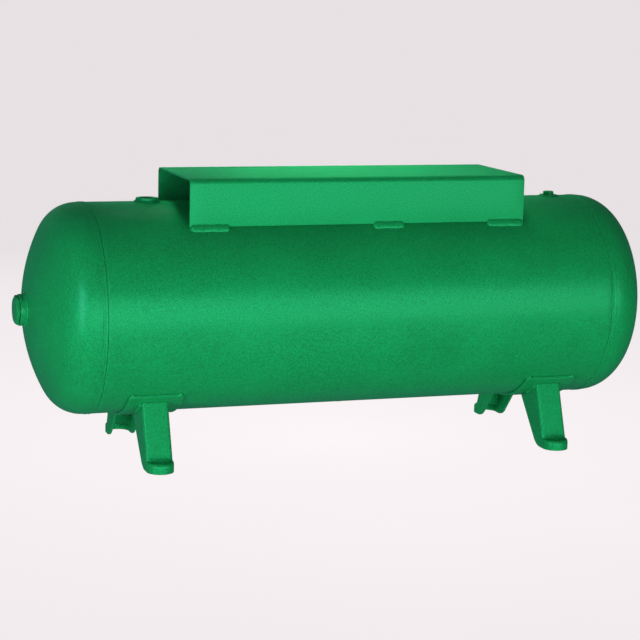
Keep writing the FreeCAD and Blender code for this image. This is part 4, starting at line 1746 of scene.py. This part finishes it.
        edge = self.plate_edge_radius
        middle = self.flange_columns - 1 + self.columns // 2
        first = self.web_rows - 1 + self.bend_steps
        window = (first, first + self.shelf_rows - 1, middle - self.hole_columns, middle + self.hole_columns)
        skin = Skin()
        rings = []
        for depth in (0.0, self.plate):
            grid = skin_at(depth, edge)
            skin.grid(grid, window=window)
            rim = rim_of(grid[window[0]:window[1] + 1, window[2]:window[3] + 1])
            centre = (x, flank.value * (self.foot_centre + self.bolt_out))
            plan = window_rings(rim, centre, self.bolt_radius, 5)
            flat = stack(plan[..., 0], plan[..., 1], self.shelf - depth)
            skin.grid(flat, wrap_columns=True)
            rings.append(flat[0])
        skin.grid(np.stack(rings), wrap_columns=True)
        skin.grid(plate_rim(skin_at, self.plate, edge), wrap_columns=True)
        return skin.piece(name, [self.finishes.plate])

    def pad_bead(self, skin: Skin, x: float, flank: Flank) -> None:
        """Weld rolled over a pad's upper edge: knots down to the shell at its ends, and a lip between.

        A knot's share is e to the minus (distance from the end / the knot's reach) squared. Where it is
        low, the bead's lower toe stays above the shell, so that a dark step is left under the lip.

        Args:
            skin: The skin that the bead is added to.
            x: The pad's middle along X.
            flank: Front or rear.
        """
        reach = self.layout.size("saddle_pad_left")[0] / 2.0 - self.pad_corner + 4.0 * MM
        along = x + reach * (2.0 * dense_ends(160) - 1.0)
        angle = flank.value * self.pad_half_angle
        wander = 40.0 * x + flank.value
        wobble = 0.3 * MM * np.sin(along * 173.0 + wander) + 0.2 * MM * np.sin(along * 401.0)
        radius = self.layout.radius
        from_end = reach - np.abs(along - x)
        knot = np.exp(-(from_end / self.knot_reach) ** 2)
        spread = flank.value * (0.4 * MM + 4.6 * MM * knot + 0.4 * wobble) / radius
        spread_in = flank.value * 1.2 * MM / radius
        first = self._under(along, self.pad_outer + 0.05 * MM, angle - 3.0 * spread_in)
        lifted = radius + self.bead_rise * (1.0 - knot)
        second = self._under(along, lifted + 0.02 * MM, angle + spread)
        root = self._under(along, lifted + 0.1 * MM, angle - spread_in)
        bulge = 2.1 * MM + 0.6 * MM * knot
        Bead(first, second, root, bulge=bulge, end_radius=5.0 * MM, wander=wander).add_to(skin)

    def leg_beads(self, skin: Skin, x: float, flank: Flank) -> None:
        """Two fillet welds that join a foot's flanges to the pad.

        Args:
            skin: The skin that the beads are added to.
            x: The foot's middle along X.
            flank: Front or rear.
        """
        web = self.pad_half_angle - self.web_margin
        low, high = web - self.weld_span[0], web - self.weld_span[1]
        angle = flank.value * (low + (high - low) * dense_ends(90))
        leg = self.leg_weld
        for way in (-1.0, 1.0):
            wobble = 0.3 * MM * np.sin(angle * 60.0 + way + 20.0 * x) + 0.2 * MM * np.sin(angle * 131.0)
            side = x + way * (self.half_width + 0.05 * MM)
            first = self._under(np.full_like(angle, side), self.pad_outer + leg + wobble, angle)
            second = self._under(side + way * (leg + wobble), self.pad_outer + 0.02 * MM, angle)
            root = self._under(np.full_like(angle, side + way * 0.1 * MM), self.pad_outer + 0.1 * MM, angle)
            wander = 3.0 * way + 11.0 * x + flank.value
            Bead(first, second, root, bulge=1.5 * MM, end_radius=4.5 * MM, wander=wander).add_to(skin)


# --------------------------------------------------------------------------- studio


@dataclass(frozen=True)
class Lamp:
    """A rectangular soft light that faces a target.

    Attributes:
        name: Name of the light.
        at: Its place.
        target: The point that it faces.
        width: Its width in metres.
        height: Its height in metres.
        power: Its power in watts.
        mirrored: Whether gloss mirrors it.
        tint: Colour of the light.
        spread: Angle of the cone that it lights, in degrees.
    """

    name: str
    at: Triple
    target: Triple
    width: float
    height: float
    power: float
    mirrored: bool = True
    tint: Triple = (1.0, 1.0, 1.0)
    spread: float = 180.0


LAMPS = (
    Lamp("front_panel", (0.4, -3.6, 0.48), (0.1, 0.0, 0.33), 5.0, 1.9, 90.0),
    Lamp("low_panel", (0.3, -3.2, -1.2), (0.1, 0.0, 0.33), 4.0, 0.9, 62.0, mirrored=False),
    Lamp("back_panel", (0.0, 3.1, 1.5), (0.0, 0.0, 0.4), 3.2, 1.2, 210.0, mirrored=False),
    Lamp("top_spot", (0.02, 1.05, 1.95), (0.02, 0.0, 0.68), 0.7, 0.2, 5.0, mirrored=False, spread=34.0),
    Lamp("left_glint", (-3.1, -2.75, 0.80), (-0.6, 0.0, 0.36), 0.9, 2.3, 66.0, tint=(0.95, 0.65, 1.0)),
    Lamp("left_fill", (-3.2, -1.9, -0.3), (-0.8, 0.0, 0.30), 1.2, 1.2, 72.0, mirrored=False),
)


@dataclass
class Studio:
    """Pale paper floor and backdrop, soft lights and the camera."""

    # Glow near the object and far from it: a painted pool of light on the paper.
    paper_low: Triple = (0.975, 0.922, 0.938)
    paper_high: Triple = (0.800, 0.755, 0.770)
    paper_glow: float = 1.0
    paper_shade: float = 0.006
    fade_reach: float = 3.6
    fade_power: float = 0.8
    sweep: float = 6.0
    floor_reach: float = 9.0
    wall: float = 40.0
    fill_low: Triple = (0.06, 0.17, 0.18)
    fill_level: Triple = (0.04, 0.12, 0.13)
    fill_high: Triple = (0.06, 0.07, 0.07)
    camera_at: Triple = (-1.6512, -4.6109, 1.1553)
    yaw: float = math.radians(19.2463)
    pitch: float = math.radians(9.82408)
    roll: float = math.radians(1.35653)
    lens: float = 111.5155

    def build(self) -> None:
        """Builds floor, lights, world and camera, and sets the colour transform."""
        self.paper()
        self.world()
        for lamp in LAMPS:
            self.light(lamp)
        self.camera()
        bpy.context.scene.view_settings.view_transform = "Standard"

    def paper(self) -> None:
        """Round sheet of paper that runs along the floor and, far away on every side, up in one sweep.

        Its section, turned about Z, is a line, a quarter circle and a line. It glows of itself, a painted
        pool of light that is brightest round the object and a little less the farther from it, so the shade
        stays faint, and no surface mirrors it.
        """
        sweep = self.sweep
        turn = np.linspace(0.0, QUARTER, 25)
        depth = np.concatenate([[0.0], self.floor_reach + sweep * np.sin(turn), [self.floor_reach + sweep]])
        height = np.concatenate([[0.0], sweep * (1.0 - np.cos(turn)), [self.wall]])
        angle = np.linspace(0.0, TURN, 97)[:, None]
        sheet = stack(depth * np.cos(angle), depth * np.sin(angle), height[None])
        piece = Skin().grid(sheet).piece("studio_paper", [])
        made = Shader("backdrop_paper")
        grain = made.noise(2.0, 2.0, 0.5)
        distance = made.node("ShaderNodeVectorMath", operation="LENGTH")
        made.join(made.place, distance.inputs[0])
        # Painted pool of light: the glow is brightest round the object and fades with distance.
        near = made.remap(distance.outputs["Value"], 0.0, self.fade_reach)
        far = made.maths("POWER", near, self.fade_power)
        share = made.maths("ADD", far, made.remap(grain, 0.0, 1.0, -0.04, 0.04))
        colour = made.mix(share, self.paper_low, self.paper_high)
        made.join(colour, made.surface.inputs["Emission Color"])
        made.surface.inputs["Base Color"].default_value = (*[self.paper_shade] * 3, 1.0)
        made.surface.inputs["Emission Strength"].default_value = self.paper_glow
        made.surface.inputs["Roughness"].default_value = 0.9
        made.surface.inputs["Specular IOR Level"].default_value = 0.0
        piece.data.materials.append(made.material)
        piece.visible_glossy = False
        piece.visible_diffuse = False
        piece.visible_shadow = False

    def world(self) -> None:
        """Even, dim surroundings: one tone below the horizon, one at its level and a darker one overhead."""
        world = bpy.data.worlds.new("studio")
        world.use_nodes = True
        tree = world.node_tree
        place = tree.nodes.new("ShaderNodeTexCoord")
        split = tree.nodes.new("ShaderNodeSeparateXYZ")
        tree.links.new(place.outputs["Generated"], split.inputs["Vector"])
        ramp = tree.nodes.new("ShaderNodeValToRGB")
        rise = tree.nodes.new("ShaderNodeMapRange")
        rise.inputs["From Min"].default_value = -1.0
        tree.links.new(split.outputs["Z"], rise.inputs["Value"])
        tree.links.new(rise.outputs["Result"], ramp.inputs["Fac"])
        ramp.color_ramp.elements[0].color = (*self.fill_low, 1.0)
        ramp.color_ramp.elements[1].color = (*self.fill_high, 1.0)
        level = ramp.color_ramp.elements.new(0.5)
        level.color = (*self.fill_level, 1.0)
        tree.links.new(ramp.outputs["Color"], tree.nodes["Background"].inputs["Color"])
        bpy.context.scene.world = world

    def light(self, lamp: Lamp) -> None:
        """Adds a lamp that lights the object but is itself out of the camera's sight.

        Args:
            lamp: The lamp.
        """
        data = bpy.data.lights.new(lamp.name, "AREA")
        data.shape = "RECTANGLE"
        data.size, data.size_y, data.energy = lamp.width, lamp.height, lamp.power
        data.color = lamp.tint
        data.spread = math.radians(lamp.spread)
        made = bpy.data.objects.new(lamp.name, data)
        bpy.context.scene.collection.objects.link(made)
        made.visible_camera = False
        made.visible_glossy = lamp.mirrored
        back = np.array(lamp.at) - np.array(lamp.target)
        back /= np.linalg.norm(back)
        right = np.cross([0.0, 0.0, 1.0], back)
        right /= np.linalg.norm(right)
        made.matrix_world = self._frame(right, np.cross(back, right), back, lamp.at)

    def camera(self) -> None:
        """Camera from its place, yaw from +Y towards +X, pitch below the horizon and roll."""
        flat = math.cos(self.pitch)
        sight = np.array([math.sin(self.yaw) * flat, math.cos(self.yaw) * flat, -math.sin(self.pitch)])
        level = np.array([math.cos(self.yaw), -math.sin(self.yaw), 0.0])
        over = np.cross(level, sight)
        right = math.cos(self.roll) * level + math.sin(self.roll) * over
        up = math.cos(self.roll) * over - math.sin(self.roll) * level
        data = bpy.data.cameras.new("camera")
        data.lens, data.sensor_width, data.clip_end = self.lens, 36.0, 300.0
        camera = bpy.data.objects.new("camera", data)
        bpy.context.scene.collection.objects.link(camera)
        camera.matrix_world = self._frame(right, up, -sight, self.camera_at)
        bpy.context.scene.camera = camera

    def _frame(self, x: np.ndarray, y: np.ndarray, z: np.ndarray, at: Triple) -> Matrix:
        """Matrix from three axes and a place.

        Args:
            x: Direction of the X axis.
            y: Direction of the Y axis.
            z: Direction of the Z axis.
            at: The place.

        Returns:
            The matrix.
        """
        rows = np.eye(4)
        rows[:3, 0], rows[:3, 1], rows[:3, 2], rows[:3, 3] = x, y, z, at
        return Matrix(rows.tolist())


def main() -> None:
    """Builds every sub-assembly around the frame, in order."""
    logging.basicConfig(level=logging.INFO, format="%(name)s: %(message)s")
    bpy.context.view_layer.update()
    layout = Layout()
    finishes = Finishes()
    vessel = Vessel(layout, finishes)
    vessel.build()
    Fittings(layout, finishes, vessel).build()
    Platform(layout, finishes).build()
    Feet(layout, finishes).build()
    Studio().build()


if __name__ == "__main__":
    main()
